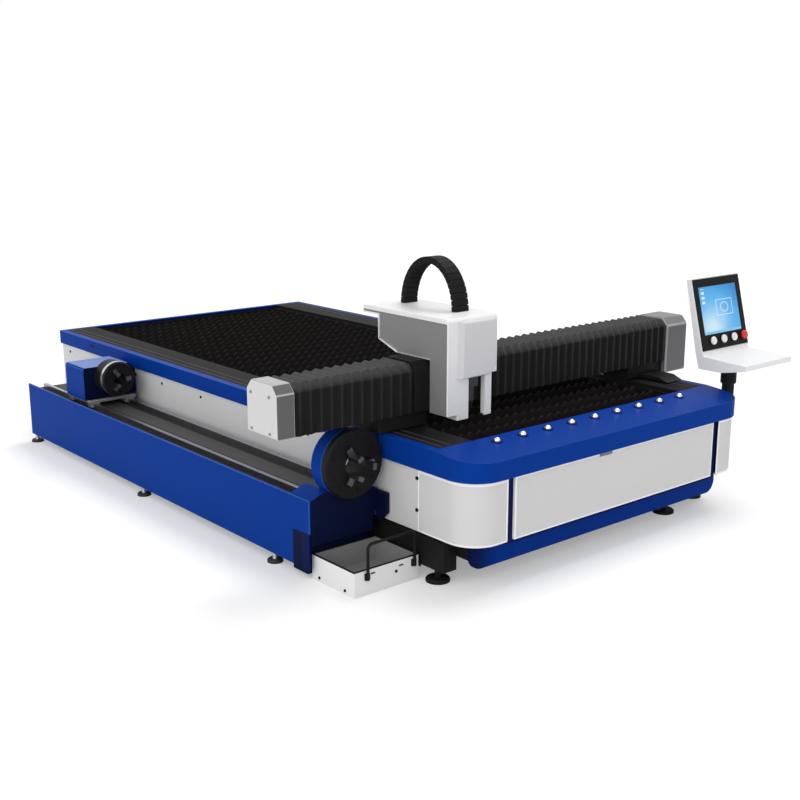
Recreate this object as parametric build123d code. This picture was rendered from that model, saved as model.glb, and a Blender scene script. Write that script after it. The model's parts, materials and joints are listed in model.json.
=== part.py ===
from build123d import *
import os
from math import atan2, cos, pi, radians, sin, tan

# Fibre laser cutter for sheet and tube, in millimetres, +Z up.
# X runs across the bed from its centre line, Y from the front panels to the back, Z from the floor.
# At the end every piece moves so that the origin lies under the middle of the whole machine.

# Clearances shared by all pieces
overrun = 20.0
slide_gap = 0.3
guide_gap = 0.5
fit_gap = 0.3

# Bed, panels and covers
bed_width = 2270.0
bed_length = 4713.0
bed_top = 725.0
panel_bottom = 252.0
panel_depth = 32.0
cover_sheet = 4.0
band_height = 102.0
proud = 12.0
corner_radius = 170.0
corner_seam = 401.0
corner_margin = 25.0
seam_gap = 2.0

# Blue front lip that carries the ball row
lip_bottom = 594.0
lip_front_top = 697.0
lip_ledge = 285.0
lip_back = 700.0
lip_wall = 10.0
lip_sheet = 8.0

# Ball transfer units
ball_count = 9
ball_pitch = 192.0
ball_row = 210.0
ball_radius = 19.0
ball_rise = 5.0
cup_radius = 25.0
cup_depth = 30.0
cup_flange_radius = 31.0
cup_flange = 4.0

# Band round the sides and the back
band_wall = 6.0
band_top_return = 44.0
band_bottom_return = 34.0

# Blue skirt under the front panels
skirt_width = 2072.0
skirt_bottom = 94.0
skirt_radius = 75.0
skirt_setback = 110.0
skirt_depth = 26.0
strip_setback = 14.0

# Welded frame
side_beam_width = 240.0
beam_bottom = 240.0
beam_top = 620.0
upstand = 20.0
cross_count = 5
cross_depth = 100.0
cross_height = 110.0
low_beam_width = 2072.0
low_beam_depth = 320.0
low_beam_bottom = 150.0
low_side_outer = 1000.0

# Legs and feet
leg_across = 94.0
leg_along = 188.0
leg_bottom = 75.0
outer_leg_x = 1083.0
inner_leg_x = 700.0
inner_leg_along = 90.0
inner_leg_inset = 198.0
front_leg_y = 309.0
rear_leg_inset = 313.0
foot_radius = 65.0
foot_height = 22.0
stud_radius = 18.0

# Cutting table
slot_outer = 870.0
table_half = 845.0
table_plate = 8.0
table_front = 300.0
table_back_margin = 53.0
table_top = 705.0
slat_ledge = 20.0
slat_ledge_height = 20.0
slat_count = 30
slat_thickness = 5.0
slat_top = 715.0
slat_side_gap = 0.5
tooth_count = 24
tooth_depth = 22.0

# Rail covers and gantry rails on the bed
cover_plate = 6.0
cover_flange = 35.0
rail_x = 960.0
rail_size = 30.0
rail_front = 150.0
rail_back_margin = 63.0

# Slag drawer in the front
drawer_side_margin = 25.0
drawer_margin = 2.0
drawer_notch = 110.0
drawer_notch_x = -140.0
drawer_notch_depth = 20.0
tray_side_margin = 33.0
tray_flange = 40.0
tray_length = 1150.0
tray_bottom = 270.0
tray_top = 400.0
tray_wall = 4.0
runner_clearance = 10.0
runner_height = 16.0

# Gantry
gantry_front = 636.0
gantry_depth = 270.0
gantry_bottom = 820.0
gantry_shoulder = 1046.0
gantry_top = 1093.0
gantry_slope = 40.0
left_cap_outer = -1845.0
left_cap_inner = -1737.0
right_cap_inner = 1187.0
right_cap_outer = 1396.0
right_cap_bottom = 735.0
cap_edge = 14.0
beam_depth = 160.0
beam_low = 850.0
beam_high = 1020.0
beam_rail = 25.0
beam_rail_low = 890.0
beam_rail_high = 985.0
beam_rail_margin = 8.0

# Gantry feet that ride on the bed rails
riser_thickness = 20.0
riser_along = 180.0
truck_along = 220.0
truck_outer = 1045.0
truck_low = 664.0
truck_plate = 24.0
shoe_across = 70.0
shoe_along = 60.0
shoe_bottom = 622.0
shoe_spread = 65.0
foot_low = 733.0
foot_along = 200.0
nose_front = 450.0
nose_crest = 520.0
nose_top = 760.0
nose_inner = 965.0
nose_outer = 1120.0

# Bellows
pleat_pitch = 62.0
pleat_depth = 14.0
bellows_wall = 5.0

# Head: saddle on the beam, hood, cheeks and front box
head_left = -862.0
head_right = -500.0
saddle_inset = 4.0
saddle_reach = 100.0
saddle_wall = 20.0
saddle_roof = 1050.0
bearing_along = 100.0
bearing_across = 70.0
bearing_margin = 18.0
hood_front = 490.0
hood_back = 1207.0
hood_top = 1330.0
hood_bottom = 775.0
hood_eave = 1284.0
hood_wall_back = 1072.0
hood_knee = 1150.0
hood_heel = 909.0
hood_sheet = 8.0
hood_roof = 26.0
hood_bend = 24.0
cheek_plate = 8.0
cheek_bottom = 805.0
post_left = -790.0
post_return = 78.0
window_left = -710.0
window_right = -590.0
window_top = 1008.0
leg_right = -538.0
leg_depth = 30.0
hood_step = 45.0
box_left = -792.0
box_right = -540.0
box_front = 448.0
box_top = 1312.0
box_bevel = 52.0
box_edge = 14.0

# Cable arch on the head
arch_x = -627.0
arch_width = 95.0
arch_thickness = 35.0
arch_front = 635.0
arch_back = 1096.0
arch_top = 1611.0
arch_core = 5.0
link_count = 21
link_gap_share = 0.10

# Vertical slide and cutting head
guide_plate = 12.0
guide_width = 93.0
guide_low = 830.0
guide_high = 1290.0
slide_width = 83.0
slide_plate = 20.0
slide_low = 930.0
slide_high = 1220.0
optic_width = 80.0
optic_depth = 92.0
optic_low = 940.0
optic_high = 1180.0
lens_radius = 34.0
lens_low = 860.0
fibre_radius = 26.0
fibre_high = 1240.0
cone_low = 812.0
cone_radius = 16.0
nozzle_radius = 14.0
nozzle_tip_radius = 5.0
nozzle_low = 775.0

# Operator console
console_x = 1294.5
console_width = 489.0
console_front = -50.0
console_base = 840.0
console_belly = 120.0
console_nose = 874.0
console_lip = 906.0
console_crease = 921.0
face_foot = 264.0
face_bottom = 943.0
face_length = 457.0
face_lean = 14.6
console_thickness = 34.0
console_back_thickness = 52.0
console_heel = 285.0
console_edge = 9.0
bezel_width = 473.0
bezel_length = 445.0
bezel_plate = 7.0
screen_left_share = 0.085
screen_right_share = 0.895
screen_low_share = 0.215
screen_high_share = 0.883
button_row_share = 0.125
button_shares = (0.225, 0.455, 0.685)
stop_share = 0.905
button_radius = 25.0
button_height = 12.0
stop_radius = 28.0
stop_height = 18.0
stem_radius = 10.0
button_lift = 6.0
stem_depth = 14.0
well_depth = 24.0
post_y = 228.0
post_radius = 38.0
post_bottom = 610.0
collar_radius = 49.0
collar_bottom = 724.0
collar_cap = 5.0
collar_taper = 6.0
arm_height = 70.0
arm_along = 60.0
arm_foot = 10.0
arm_foot_along = 160.0
arm_foot_bottom = 590.0
arm_foot_top = 700.0

# Tube unit beside the bed
tube_gap = 4.0
tube_width = 454.0
tube_front = 723.0
tube_deck_front = 900.0
tube_back = 4279.0
tube_plate = 12.0
tube_bottom = 55.0
tube_wall_top = 440.0
tube_deck_low = 190.0
tube_deck = 396.0
tube_flange = 60.0
tube_notch_front = 770.0
tube_notch_back = 802.0
tube_foot_inset = 23.0
tube_foot_places = (1080.0, 2573.0, 4236.0)
tube_foot_radius = 44.0
tube_foot_height = 18.0
tube_stud_radius = 14.0
tube_rail_offset = 130.0
tube_rail = 28.0
tube_rail_front = 940.0
tube_rail_back = 4260.0
tie_front = 1000.0
tie_past_leg = 345.5
tie_rear = 4050.0
tie_along = 120.0
tie_plate = 12.0
tie_reach = 150.0

# Chucks
chuck_offset = 26.0
chuck_z = 602.0
front_disc_radius = 187.0
front_disc_front = 660.0
front_disc_plate = 40.0
front_house_gap = 2.0
front_house_length = 90.0
front_spindle_radius = 120.0
front_bore_radius = 60.0
disc_edge = 7.0
base_front = 716.0
base_bottom = 191.0
base_top = 470.0
base_left_shoulder = 440.0
base_shoulder_run = 73.0
base_right_shoulder = 418.0
base_right_knee = 334.0
base_right_foot = 256.0
base_right_inset = 39.0
base_right_step = 450.0
base_right_run = 64.0
jaw_count = 3
jaw_width = 36.0
jaw_inner = 48.0
jaw_outer = 112.0
jaw_height = 92.0
jaw_base = 26.0
jaw_step = 24.0
rear_disc_front = 3305.0
rear_disc_radius = 118.0
rear_disc_plate = 140.0
rear_house_front = 3447.0
rear_house_back = 3734.0
rear_house_half = 194.0
rear_house_top = 678.0
rear_house_left_bevel = 12.0
rear_house_right_bevel = 52.0
rear_spindle_radius = 62.0
rear_bore_radius = 42.0
rear_jaw_inner = 34.0
rear_jaw_outer = 84.0
rear_jaw_width = 28.0
rear_jaw_height = 40.0
rear_jaw_base = 20.0
carriage_half = 176.0
carriage_front = 3415.0
carriage_back = 3775.0
carriage_low = 432.0
carriage_plate = 18.0
carriage_shoe = 64.0
carriage_shoe_low = 401.0

# Catch tray on the floor under the front chuck
catch_width = 426.0
catch_offset = 3.0
catch_front = 396.0
catch_back = 755.0
catch_height = 138.0
catch_wall = 5.0
handle_left_inset = 80.0
handle_right_inset = 37.0
handle_low = 83.0
handle_top = 275.0
handle_bar = 8.0
handle_stand = 12.0
handle_bend = 30.0
handle_foot = 14.0
handle_foot_height = 36.0

# Worked out from the sizes above
half = bed_width / 2
skin = half + proud
frame_half = half - panel_depth
beam_inner = frame_half - side_beam_width
corner_inner = beam_inner + corner_margin
drawer_half = beam_inner - drawer_side_margin
tray_flange_half = beam_inner - tray_side_margin
tray_half = tray_flange_half - tray_flange
runner_inner = tray_half + runner_clearance
rear_leg_y = bed_length - rear_leg_inset
middle_leg_y = (front_leg_y + rear_leg_y) / 2
tie_places = (tie_front, middle_leg_y + tie_past_leg, tie_rear)
table_back = bed_length - table_back_margin
rail_back = bed_length - rail_back_margin
tube_right = -skin - tube_gap
tube_left = tube_right - tube_width
chuck_x = (tube_left + tube_right) / 2 + chuck_offset
catch_left = chuck_x - catch_offset - catch_width / 2
catch_right = catch_left + catch_width
handle_left = catch_left + handle_left_inset
handle_right = catch_right - handle_right_inset
panel_top = bed_top - band_height
skirt_back = skirt_setback + skirt_depth
panel_back = bed_length - proud
frame_back = panel_back - panel_depth
gantry_back = gantry_front + gantry_depth
gantry_middle = gantry_front + gantry_depth / 2
console_right = console_x + console_width / 2
head_middle = (window_left + window_right) / 2
chuck_front_back = front_disc_front + front_disc_plate
move_x = -(left_cap_outer + console_right) / 2
move_y = -(console_front + bed_length) / 2


def block(x, y, z):
    """Block between the ends of three ranges."""
    size = Box(x[1] - x[0], y[1] - y[0], z[1] - z[0])
    return Pos((x[0] + x[1]) / 2, (y[0] + y[1]) / 2, (z[0] + z[1]) / 2) * size


def along_x(points, x):
    """Outline of (y, z) points drawn out between two x places."""
    face = make_face(Polyline(*[(x[0], py, pz) for py, pz in points], close=True))
    return extrude(face, amount=x[1] - x[0], dir=(1, 0, 0))


def along_y(points, y):
    """Outline of (x, z) points drawn out between two y places."""
    face = make_face(Polyline(*[(px, y[0], pz) for px, pz in points], close=True))
    return extrude(face, amount=y[1] - y[0], dir=(0, 1, 0))


def round_y(x, z, radius, y):
    """Round bar along Y between two y places."""
    bar = Cylinder(radius, y[1] - y[0], rotation=(90, 0, 0))
    return Pos(x, (y[0] + y[1]) / 2, z) * bar


def round_z(x, y, radius, z):
    """Upright round bar between two heights."""
    return Pos(x, y, (z[0] + z[1]) / 2) * Cylinder(radius, z[1] - z[0])


def both_sides(shape):
    """A piece and its mirror image across the centre line of the bed."""
    return [shape, mirror(shape, about=Plane.YZ)]


def front_block(side, front, back, z, radius):
    """Bed-wide block whose two front upright edges are rounded."""
    solid = block((-side, side), (front, back), z)
    corners = solid.edges().filter_by(Axis.Z).sort_by(Axis.Y)[:2]
    return fillet(corners, radius)


def pan(x, y, z, wall, open_side):
    """Folded sheet pan: a block hollowed from one open side, given as an axis direction."""
    hollow = [[x[0] + wall, x[1] - wall], [y[0] + wall, y[1] - wall], [z[0] + wall, z[1] - wall]]
    for axis, sign in enumerate(open_side):
        if sign > 0:
            hollow[axis][1] += wall + overrun
        if sign < 0:
            hollow[axis][0] -= wall + overrun
    return block(x, y, z) - block(*hollow)


# Welded frame, legs and feet

def make_bed_frame():
    """Beams of the welded frame, each a solid of its own that meets its neighbours."""
    height = (beam_bottom, beam_top)
    sides = front_block(frame_half, panel_depth, frame_back, height, corner_radius - panel_depth)
    between = (panel_depth - overrun, frame_back + overrun)
    beams = list((sides - block((-beam_inner, beam_inner), between, height)).solids())
    rise = (beam_top, bed_top - cover_plate)
    beams += both_sides(block((frame_half - upstand, frame_half), (lip_ledge, frame_back), rise))
    last = frame_back - cross_depth
    for index in range(cross_count):
        y = panel_depth + index * (last - panel_depth) / (cross_count - 1)
        across = (-beam_inner, beam_inner)
        beams.append(block(across, (y, y + cross_depth), (beam_top - cross_height, beam_top)))
    low = (low_beam_bottom, beam_bottom)
    for y in (skirt_back, frame_back - low_beam_depth):
        beams.append(block((-low_beam_width / 2, low_beam_width / 2), (y, y + low_beam_depth), low))
    between = (skirt_back + low_beam_depth, frame_back - low_beam_depth)
    return beams + both_sides(block((beam_inner, low_side_outer), between, low))


def leg_places():
    """Plan place, size along the bed and top of every leg."""
    places = []
    for side in (-1, 1):
        for y in (front_leg_y, middle_leg_y, rear_leg_y):
            places.append((side * outer_leg_x, y, leg_along, beam_bottom))
    for y in (panel_depth + inner_leg_inset, frame_back - inner_leg_inset):
        places.append((inner_leg_x, y, inner_leg_along, low_beam_bottom))
    return places


def make_bed_legs():
    legs = []
    for x, y, along, top in leg_places():
        width = (x - leg_across / 2, x + leg_across / 2)
        legs.append(block(width, (y - along / 2, y + along / 2), (leg_bottom, top)))
    return legs


def make_bed_feet():
    feet = []
    for x, y, along, top in leg_places():
        pad = round_z(x, y, foot_radius, (0, foot_height))
        pad = chamfer(pad.edges().sort_by(Axis.Z)[-1], foot_height / 3)
        feet.append(pad + round_z(x, y, stud_radius, (foot_height, leg_bottom)))
    return feet


# White panels, blue lip, band and skirt

def make_side_panels():
    span = (corner_seam + seam_gap, panel_back)
    return both_sides(pan((frame_half, half), span, (panel_bottom, panel_top), cover_sheet, (-1, 0, 0)))


def make_rear_panel():
    width = (-frame_half, frame_half)
    return pan(width, (frame_back, panel_back), (panel_bottom, panel_top), cover_sheet, (0, -1, 0))


def make_corner_panels():
    height = (panel_bottom, lip_bottom)
    inner = (panel_bottom + cover_sheet, lip_bottom - cover_sheet)
    through = (panel_bottom - overrun, lip_bottom + overrun)
    past = corner_seam + overrun
    ring = front_block(half, 0, corner_seam, height, corner_radius)
    ring -= front_block(half - cover_sheet, cover_sheet, past, inner, corner_radius - cover_sheet)
    ring -= front_block(frame_half, panel_depth, past, through, corner_radius - panel_depth)
    ring -= block((-corner_inner, corner_inner), (-overrun, past), through)
    return ring.solids()


def lip_slope(drop):
    """Wedge over the sloping top of the lip, lowered by a drop."""
    rise = (bed_top - lip_front_top) / (lip_ledge + proud)
    front = -proud - overrun
    low = lip_front_top - rise * overrun - drop
    sky = bed_top + overrun
    return along_x([(front, low), (lip_ledge, bed_top - drop), (lip_ledge, sky), (front, sky)], (-skin, skin))


def make_front_lip():
    radius = corner_radius + proud
    shell = front_block(skin, -proud, lip_back, (lip_bottom, bed_top), radius) - lip_slope(0)
    hollow_top = (lip_bottom - overrun, bed_top - lip_sheet)
    inner_front = lip_wall - proud
    inner_side = skin - lip_wall
    hollow = front_block(inner_side, inner_front, lip_back + overrun, hollow_top, radius - lip_wall)
    shell -= hollow - lip_slope(lip_sheet)
    tall = (lip_bottom - overrun, bed_top + overrun)
    shell -= block((-frame_half, frame_half), (lip_ledge, lip_back + overrun), tall)
    for place in ball_places():
        shell -= place * Pos(0, 0, -cup_depth / 2) * Cylinder(cup_radius + fit_gap, cup_depth + overrun)
    return shell


def ball_places():
    """Locations of the ball units, upright on the slope of the lip."""
    rise = (bed_top - lip_front_top) / (lip_ledge + proud)
    height = lip_front_top + rise * (ball_row + proud)
    slope = Plane(origin=(0, ball_row, height), x_dir=(1, 0, 0), z_dir=(0, -rise, 1))
    first = -ball_pitch * (ball_count - 1) / 2
    return [slope.location * Pos(first + index * ball_pitch, 0, 0) for index in range(ball_count)]


def make_ball_cups():
    cup = Pos(0, 0, -cup_depth / 2) * Cylinder(cup_radius, cup_depth)
    flange = Pos(0, 0, cup_flange / 2) * Cylinder(cup_flange_radius, cup_flange)
    cup += chamfer(flange.edges().sort_by(Axis.Z)[-1], cup_flange / 2)
    cup -= Pos(0, 0, ball_rise) * Sphere(ball_radius + fit_gap)
    return [place * cup for place in ball_places()]


def make_balls():
    return [place * Pos(0, 0, ball_rise) * Sphere(ball_radius) for place in ball_places()]


def make_top_band():
    front = lip_back + seam_gap
    height = (panel_top, bed_top)
    inner = skin - band_wall
    back = bed_length - band_wall
    past = front - overrun
    band = block((-skin, skin), (front, bed_length), height)
    band -= block((-inner, inner), (past, back), (panel_top + band_wall, bed_top - band_wall))
    top_half = skin - band_top_return
    top = (bed_top - 2 * band_wall, bed_top + overrun)
    band -= block((-top_half, top_half), (past, bed_length - band_top_return), top)
    low_half = skin - band_bottom_return
    low = (panel_top - overrun, panel_top + 2 * band_wall)
    return band - block((-low_half, low_half), (past, bed_length - band_bottom_return), low)


def skirt_plate(inset, back, top):
    """Skirt block with rounded lower corners, moved in by an inset."""
    side = skirt_width / 2 - inset
    plate = block((-side, side), (skirt_setback + inset, back), (skirt_bottom + inset, top))
    corners = plate.edges().filter_by(Axis.Y).sort_by(Axis.Z)[:2]
    return fillet(corners, skirt_radius - inset)


def make_front_skirt():
    skirt = skirt_plate(0, skirt_back, beam_bottom)
    skirt -= skirt_plate(cover_sheet, skirt_back + overrun, beam_bottom - cover_sheet)
    outer = corner_inner - seam_gap
    skirt += block((-outer, outer), (strip_setback, skirt_back), (beam_bottom - cover_sheet, beam_bottom))
    inner = drawer_half + drawer_margin
    strip = block((inner, outer), (strip_setback, panel_depth), (beam_bottom, lip_bottom))
    return skirt + both_sides(strip)


def make_rail_covers():
    under = bed_top - cover_plate
    outline = [(slot_outer, bed_top - cover_flange), (slot_outer + cover_plate, bed_top - cover_flange),
               (slot_outer + cover_plate, under), (frame_half, under), (frame_half, bed_top),
               (slot_outer, bed_top)]
    return both_sides(along_y(outline, (lip_ledge, bed_length - band_top_return)))


# Cutting table and bed rails

def make_slat_frame():
    wall = table_half - table_plate
    ends = (table_front + table_plate, table_back - table_plate)
    frame = block((-table_half, table_half), (table_front, table_back), (beam_top, table_top))
    frame -= block((-wall, wall), ends, (beam_top + slat_ledge_height, table_top + overrun))
    ledge = wall - slat_ledge
    return frame - block((-ledge, ledge), ends, (beam_top - overrun, table_top))


def make_slats():
    side = table_half - table_plate - slat_side_gap
    pitch = 2 * side / tooth_count
    foot = beam_top + slat_ledge_height
    outline = [(side, foot), (-side, foot)]
    for index in range(tooth_count):
        left = -side + index * pitch
        outline += [(left, slat_top - tooth_depth), (left + pitch / 2, slat_top)]
    outline.append((side, slat_top - tooth_depth))
    clear = table_back - table_front - 2 * table_plate
    step = clear / (slat_count + 1)
    first = table_front + table_plate + step - slat_thickness / 2
    slat = along_y(outline, (first, first + slat_thickness))
    return [Pos(0, index * step, 0) * slat for index in range(slat_count)]


def make_bed_rails():
    width = (rail_x - rail_size / 2, rail_x + rail_size / 2)
    return both_sides(block(width, (rail_front, rail_back), (beam_top, beam_top + rail_size)))


# Slag drawer

def make_drawer_front():
    height = (panel_bottom + drawer_margin, lip_bottom - drawer_margin)
    front = pan((-drawer_half, drawer_half), (0, panel_depth - drawer_margin), height, cover_sheet, (0, 1, 0))
    notch_top = height[1] + overrun
    ends = (drawer_notch_x - drawer_notch / 2, drawer_notch_x + drawer_notch / 2)
    notch = block(ends, (-overrun, panel_depth - drawer_margin + overrun),
                  (height[1] - drawer_notch_depth, notch_top))
    return front - notch


def make_drawer_tray():
    ends = (cover_sheet, panel_depth + tray_length)
    tray = block((-tray_half, tray_half), ends, (tray_bottom, tray_top))
    rim = (tray_top - tray_wall, tray_top)
    tray += block((-tray_flange_half, tray_flange_half), ends, rim)
    inside = (ends[0] + tray_wall, ends[1] - tray_wall)
    return tray - block((-tray_half + tray_wall, tray_half - tray_wall), inside,
                        (tray_bottom + tray_wall, tray_top + overrun))


def make_drawer_runners():
    top = tray_top - tray_wall - slide_gap
    runner = block((runner_inner, beam_inner), (panel_depth, panel_depth + tray_length),
                   (top - runner_height, top))
    return both_sides(runner)


# Gantry

def gantry_outline(inset, bottom):
    """Section of the gantry with its two sloping shoulders, moved in by an inset."""
    lean = atan2(gantry_slope, gantry_top - gantry_shoulder)
    front = gantry_front + inset
    back = gantry_back - inset
    shoulder = gantry_shoulder - inset * tan(lean / 2)
    run = gantry_slope - inset + inset * tan((pi / 2 - lean) / 2)
    top = gantry_top - inset
    return [(front, bottom), (front, shoulder), (front + run, top), (back - run, top), (back, shoulder),
            (back, bottom)]


def make_gantry_beam():
    depth = (gantry_middle - beam_depth / 2, gantry_middle + beam_depth / 2)
    return block((left_cap_inner, right_cap_inner), depth, (beam_low, beam_high))


def make_gantry_cap_left():
    cap = along_x(gantry_outline(0, gantry_bottom), (left_cap_outer, left_cap_inner))
    rim = cap.faces().sort_by(Axis.X)[0].edges()
    return fillet(rim, cap_edge)


def make_gantry_cap_right():
    cap = along_x(gantry_outline(0, right_cap_bottom), (right_cap_inner, right_cap_outer))
    rim = cap.faces().sort_by(Axis.X)[-1].edges()
    return fillet(rim, cap_edge)


def make_bellows(x):
    """Pleated cover between two x places, open underneath so that the gantry feet pass."""
    count = round((x[1] - x[0]) / pleat_pitch)
    step = (x[1] - x[0]) / (2 * count)
    sections = []
    for index in range(2 * count + 1):
        inset = 0 if index % 2 else pleat_depth
        points = [(x[0] + index * step, py, pz) for py, pz in gantry_outline(inset, gantry_bottom)]
        sections.append(make_face(Polyline(*points, close=True)))
    skin_body = loft(sections, ruled=True)
    tunnel = gantry_outline(pleat_depth + bellows_wall, gantry_bottom - overrun)
    return skin_body - along_x(tunnel, (x[0] - overrun, x[1] + overrun))


def make_beam_rails():
    front = gantry_middle - beam_depth / 2
    span = (left_cap_inner + beam_rail_margin, right_cap_inner - beam_rail_margin)
    rails = []
    for z in (beam_rail_low, beam_rail_high):
        rails.append(block(span, (front - beam_rail, front), (z - beam_rail / 2, z + beam_rail / 2)))
    return rails


def make_gantry_feet():
    middle = (table_half + slot_outer) / 2
    inner = middle - riser_thickness / 2
    riser_y = (gantry_middle - riser_along / 2, gantry_middle + riser_along / 2)
    foot = block((inner, inner + riser_thickness), riser_y, (truck_low, beam_low))
    truck_y = (gantry_middle - truck_along / 2, gantry_middle + truck_along / 2)
    foot += block((inner, truck_outer), truck_y, (truck_low, truck_low + truck_plate))
    for y in (gantry_middle - shoe_spread, gantry_middle + shoe_spread):
        shoe_y = (y - shoe_along / 2, y + shoe_along / 2)
        foot += block((rail_x - shoe_across / 2, rail_x + shoe_across / 2), shoe_y, (shoe_bottom, truck_low))
    box_y = (gantry_middle - foot_along / 2, gantry_middle + foot_along / 2)
    foot += block((inner, right_cap_inner), box_y, (foot_low, beam_low))
    channel = rail_size / 2 + guide_gap
    foot -= block((rail_x - channel, rail_x + channel), (rail_front, rail_back),
                  (beam_top, beam_top + rail_size + slide_gap))
    nose = [(nose_front, foot_low), (nose_crest, nose_top), (box_y[0], nose_top), (box_y[0], foot_low)]
    return [mirror(foot, about=Plane.YZ), foot + along_x(nose, (nose_inner, nose_outer))]


# Head on the gantry

def make_head_carriage():
    span = (head_left - saddle_reach, head_right - saddle_inset)
    saddle = along_x(gantry_outline(0, gantry_bottom), span)
    inside = (gantry_front + saddle_wall, gantry_back - saddle_wall)
    saddle -= block((span[0] - overrun, span[1] + overrun), inside, (gantry_bottom - overrun, saddle_roof))
    rail_back_face = gantry_middle - beam_depth / 2
    bearing_y = (inside[0], rail_back_face - slide_gap)
    channel = beam_rail / 2 + guide_gap
    for left in (span[0] + bearing_margin, span[1] - bearing_margin - bearing_along):
        for z in (beam_rail_low, beam_rail_high):
            height = (z - bearing_across / 2, z + bearing_across / 2)
            bearing = block((left, left + bearing_along), bearing_y, height)
            past = (left - overrun, left + bearing_along + overrun)
            groove_y = (rail_back_face - beam_rail - guide_gap, rail_back_face)
            saddle += bearing - block(past, groove_y, (z - channel, z + channel))
    guide_x = (head_middle - guide_width / 2, head_middle + guide_width / 2)
    saddle += block(guide_x, (gantry_front - guide_plate, gantry_front), (guide_low, guide_high))
    return saddle


def hood_line(inset, roof, bottom):
    """Side outline of the hood from the foot of its front, over the top, to its heel at the back."""
    return [(hood_front + inset, bottom), (hood_front + inset, hood_top - roof),
            (hood_back - inset, hood_top - roof), (hood_back - inset, hood_eave + inset),
            (hood_wall_back - inset, hood_eave + inset), (hood_wall_back - inset, hood_knee),
            (hood_heel, gantry_top + inset)]


def make_head_shell():
    close = [(gantry_front, gantry_top), (gantry_front, hood_bottom)]
    span = (head_left, head_right)
    shell = along_x(hood_line(0, 0, hood_bottom) + close, span)
    bend = shell.edges().filter_by(Axis.X).sort_by(Axis.Z)[-2:]
    shell = fillet(bend, hood_bend)
    low = [(hood_heel, gantry_top - overrun), (gantry_front + overrun, gantry_top - overrun),
           (gantry_front + overrun, hood_bottom - overrun), (hood_front + hood_sheet, hood_bottom - overrun)]
    inside = hood_line(hood_sheet, hood_roof, hood_bottom) + low
    shell -= along_x(inside, (head_left - overrun, head_right + overrun))
    wall = (hood_front - overrun, hood_front + 2 * hood_sheet)
    tall = (hood_bottom - overrun, window_top)
    shell -= block((window_left, window_right), wall, tall)
    shell -= block((leg_right, head_right + overrun), wall, tall)
    shell -= block((head_left - overrun, post_left), wall, (hood_bottom - overrun, cheek_bottom))
    column = (hood_front + hood_sheet, gantry_front - guide_plate)
    shell += block((window_left - hood_sheet, window_left), column, (hood_bottom, window_top))
    shell += block((post_left, post_left + hood_sheet), (hood_front + hood_sheet, hood_front + post_return),
                   (hood_bottom, window_top))
    shell += block((window_right, leg_right), (hood_front + hood_sheet, hood_front + leg_depth),
                   (hood_bottom + hood_sheet, window_top))
    return shell


def make_head_cheeks():
    outline = hood_line(hood_sheet, hood_roof, cheek_bottom)
    outline += [(hood_heel, gantry_top), (gantry_front, gantry_top), (gantry_front, cheek_bottom)]
    left = head_left + saddle_inset
    cheek = along_x(outline, (left, left + cheek_plate))
    right = head_right - saddle_inset
    other = along_x(outline, (right - cheek_plate, right))
    past_leg = block((leg_right, head_right + overrun), (hood_front - overrun, gantry_front + overrun),
                     (hood_bottom - overrun, window_top))
    return [cheek, other - past_leg]


def make_head_front_box():
    outline = [(box_left, window_top), (box_right - box_bevel, window_top),
               (box_right, window_top + hood_step), (box_right, box_top), (box_left, box_top)]
    cover = along_y(outline, (box_front, hood_front))
    return fillet(cover.faces().sort_by(Axis.Y)[0].edges(), box_edge)


def arch_band(inset, width):
    """Half of an oval ring over the hood, thinner by an inset on both faces."""
    half_span = (arch_back - arch_front) / 2
    rise = arch_top - hood_top
    wall = arch_thickness - inset
    plane = Plane(origin=(arch_x, (arch_front + arch_back) / 2, hood_top), x_dir=(0, 1, 0), z_dir=(1, 0, 0))
    ring = Ellipse(half_span - inset, rise - inset) - Ellipse(half_span - wall, rise - wall)
    ring -= Pos(0, -rise / 2) * Rectangle(2 * half_span, rise)
    return extrude(plane * ring, amount=width / 2, both=True)


def make_cable_arch():
    core = arch_band(arch_core, arch_width - 2 * arch_core)
    links = arch_band(0, arch_width)
    span = arch_back - arch_front
    gap = link_gap_share * arch_thickness
    for index in range(1, link_count):
        turn = 180 * index / link_count
        cut = Pos(0, span / 2, 0) * Box(2 * arch_width, span, gap)
        links -= Pos(arch_x, (arch_front + arch_back) / 2, hood_top) * Rot(turn, 0, 0) * cut
    return core + links


# Cutting head on its vertical slide

def make_z_slide():
    face = gantry_front - guide_plate - slide_gap
    return block((head_middle - slide_width / 2, head_middle + slide_width / 2), (face - slide_plate, face),
                 (slide_low, slide_high))


def optic_back():
    """Front face of the vertical slide, where the cutting head is bolted on."""
    return gantry_front - guide_plate - slide_gap - slide_plate


def make_cutting_head():
    back = optic_back()
    middle = back - optic_depth / 2
    body = block((head_middle - optic_width / 2, head_middle + optic_width / 2), (back - optic_depth, back),
                 (optic_low, optic_high))
    body = chamfer(body.edges().filter_by(Axis.Z).sort_by(Axis.Y)[:2], optic_width / 8)
    body += round_z(head_middle, middle, lens_radius, (lens_low, optic_low))
    body += round_z(head_middle, middle, fibre_radius, (optic_high, fibre_high))
    cone_height = lens_low - cone_low
    body += Pos(head_middle, middle, cone_low + cone_height / 2) * Cone(cone_radius, lens_radius, cone_height)
    return body


def make_nozzle():
    height = cone_low - nozzle_low
    middle = optic_back() - optic_depth / 2
    return Pos(head_middle, middle, nozzle_low + height / 2) * Cone(nozzle_tip_radius, nozzle_radius, height)


# Operator console

def face_plane():
    """Leaning front of the console: x across, y up the face, z out of it, from its lower left corner."""
    lean = radians(face_lean)
    corner = (console_x - console_width / 2, face_foot, face_bottom)
    return Plane(origin=corner, x_dir=(1, 0, 0), z_dir=(0, -cos(lean), sin(lean)))


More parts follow.
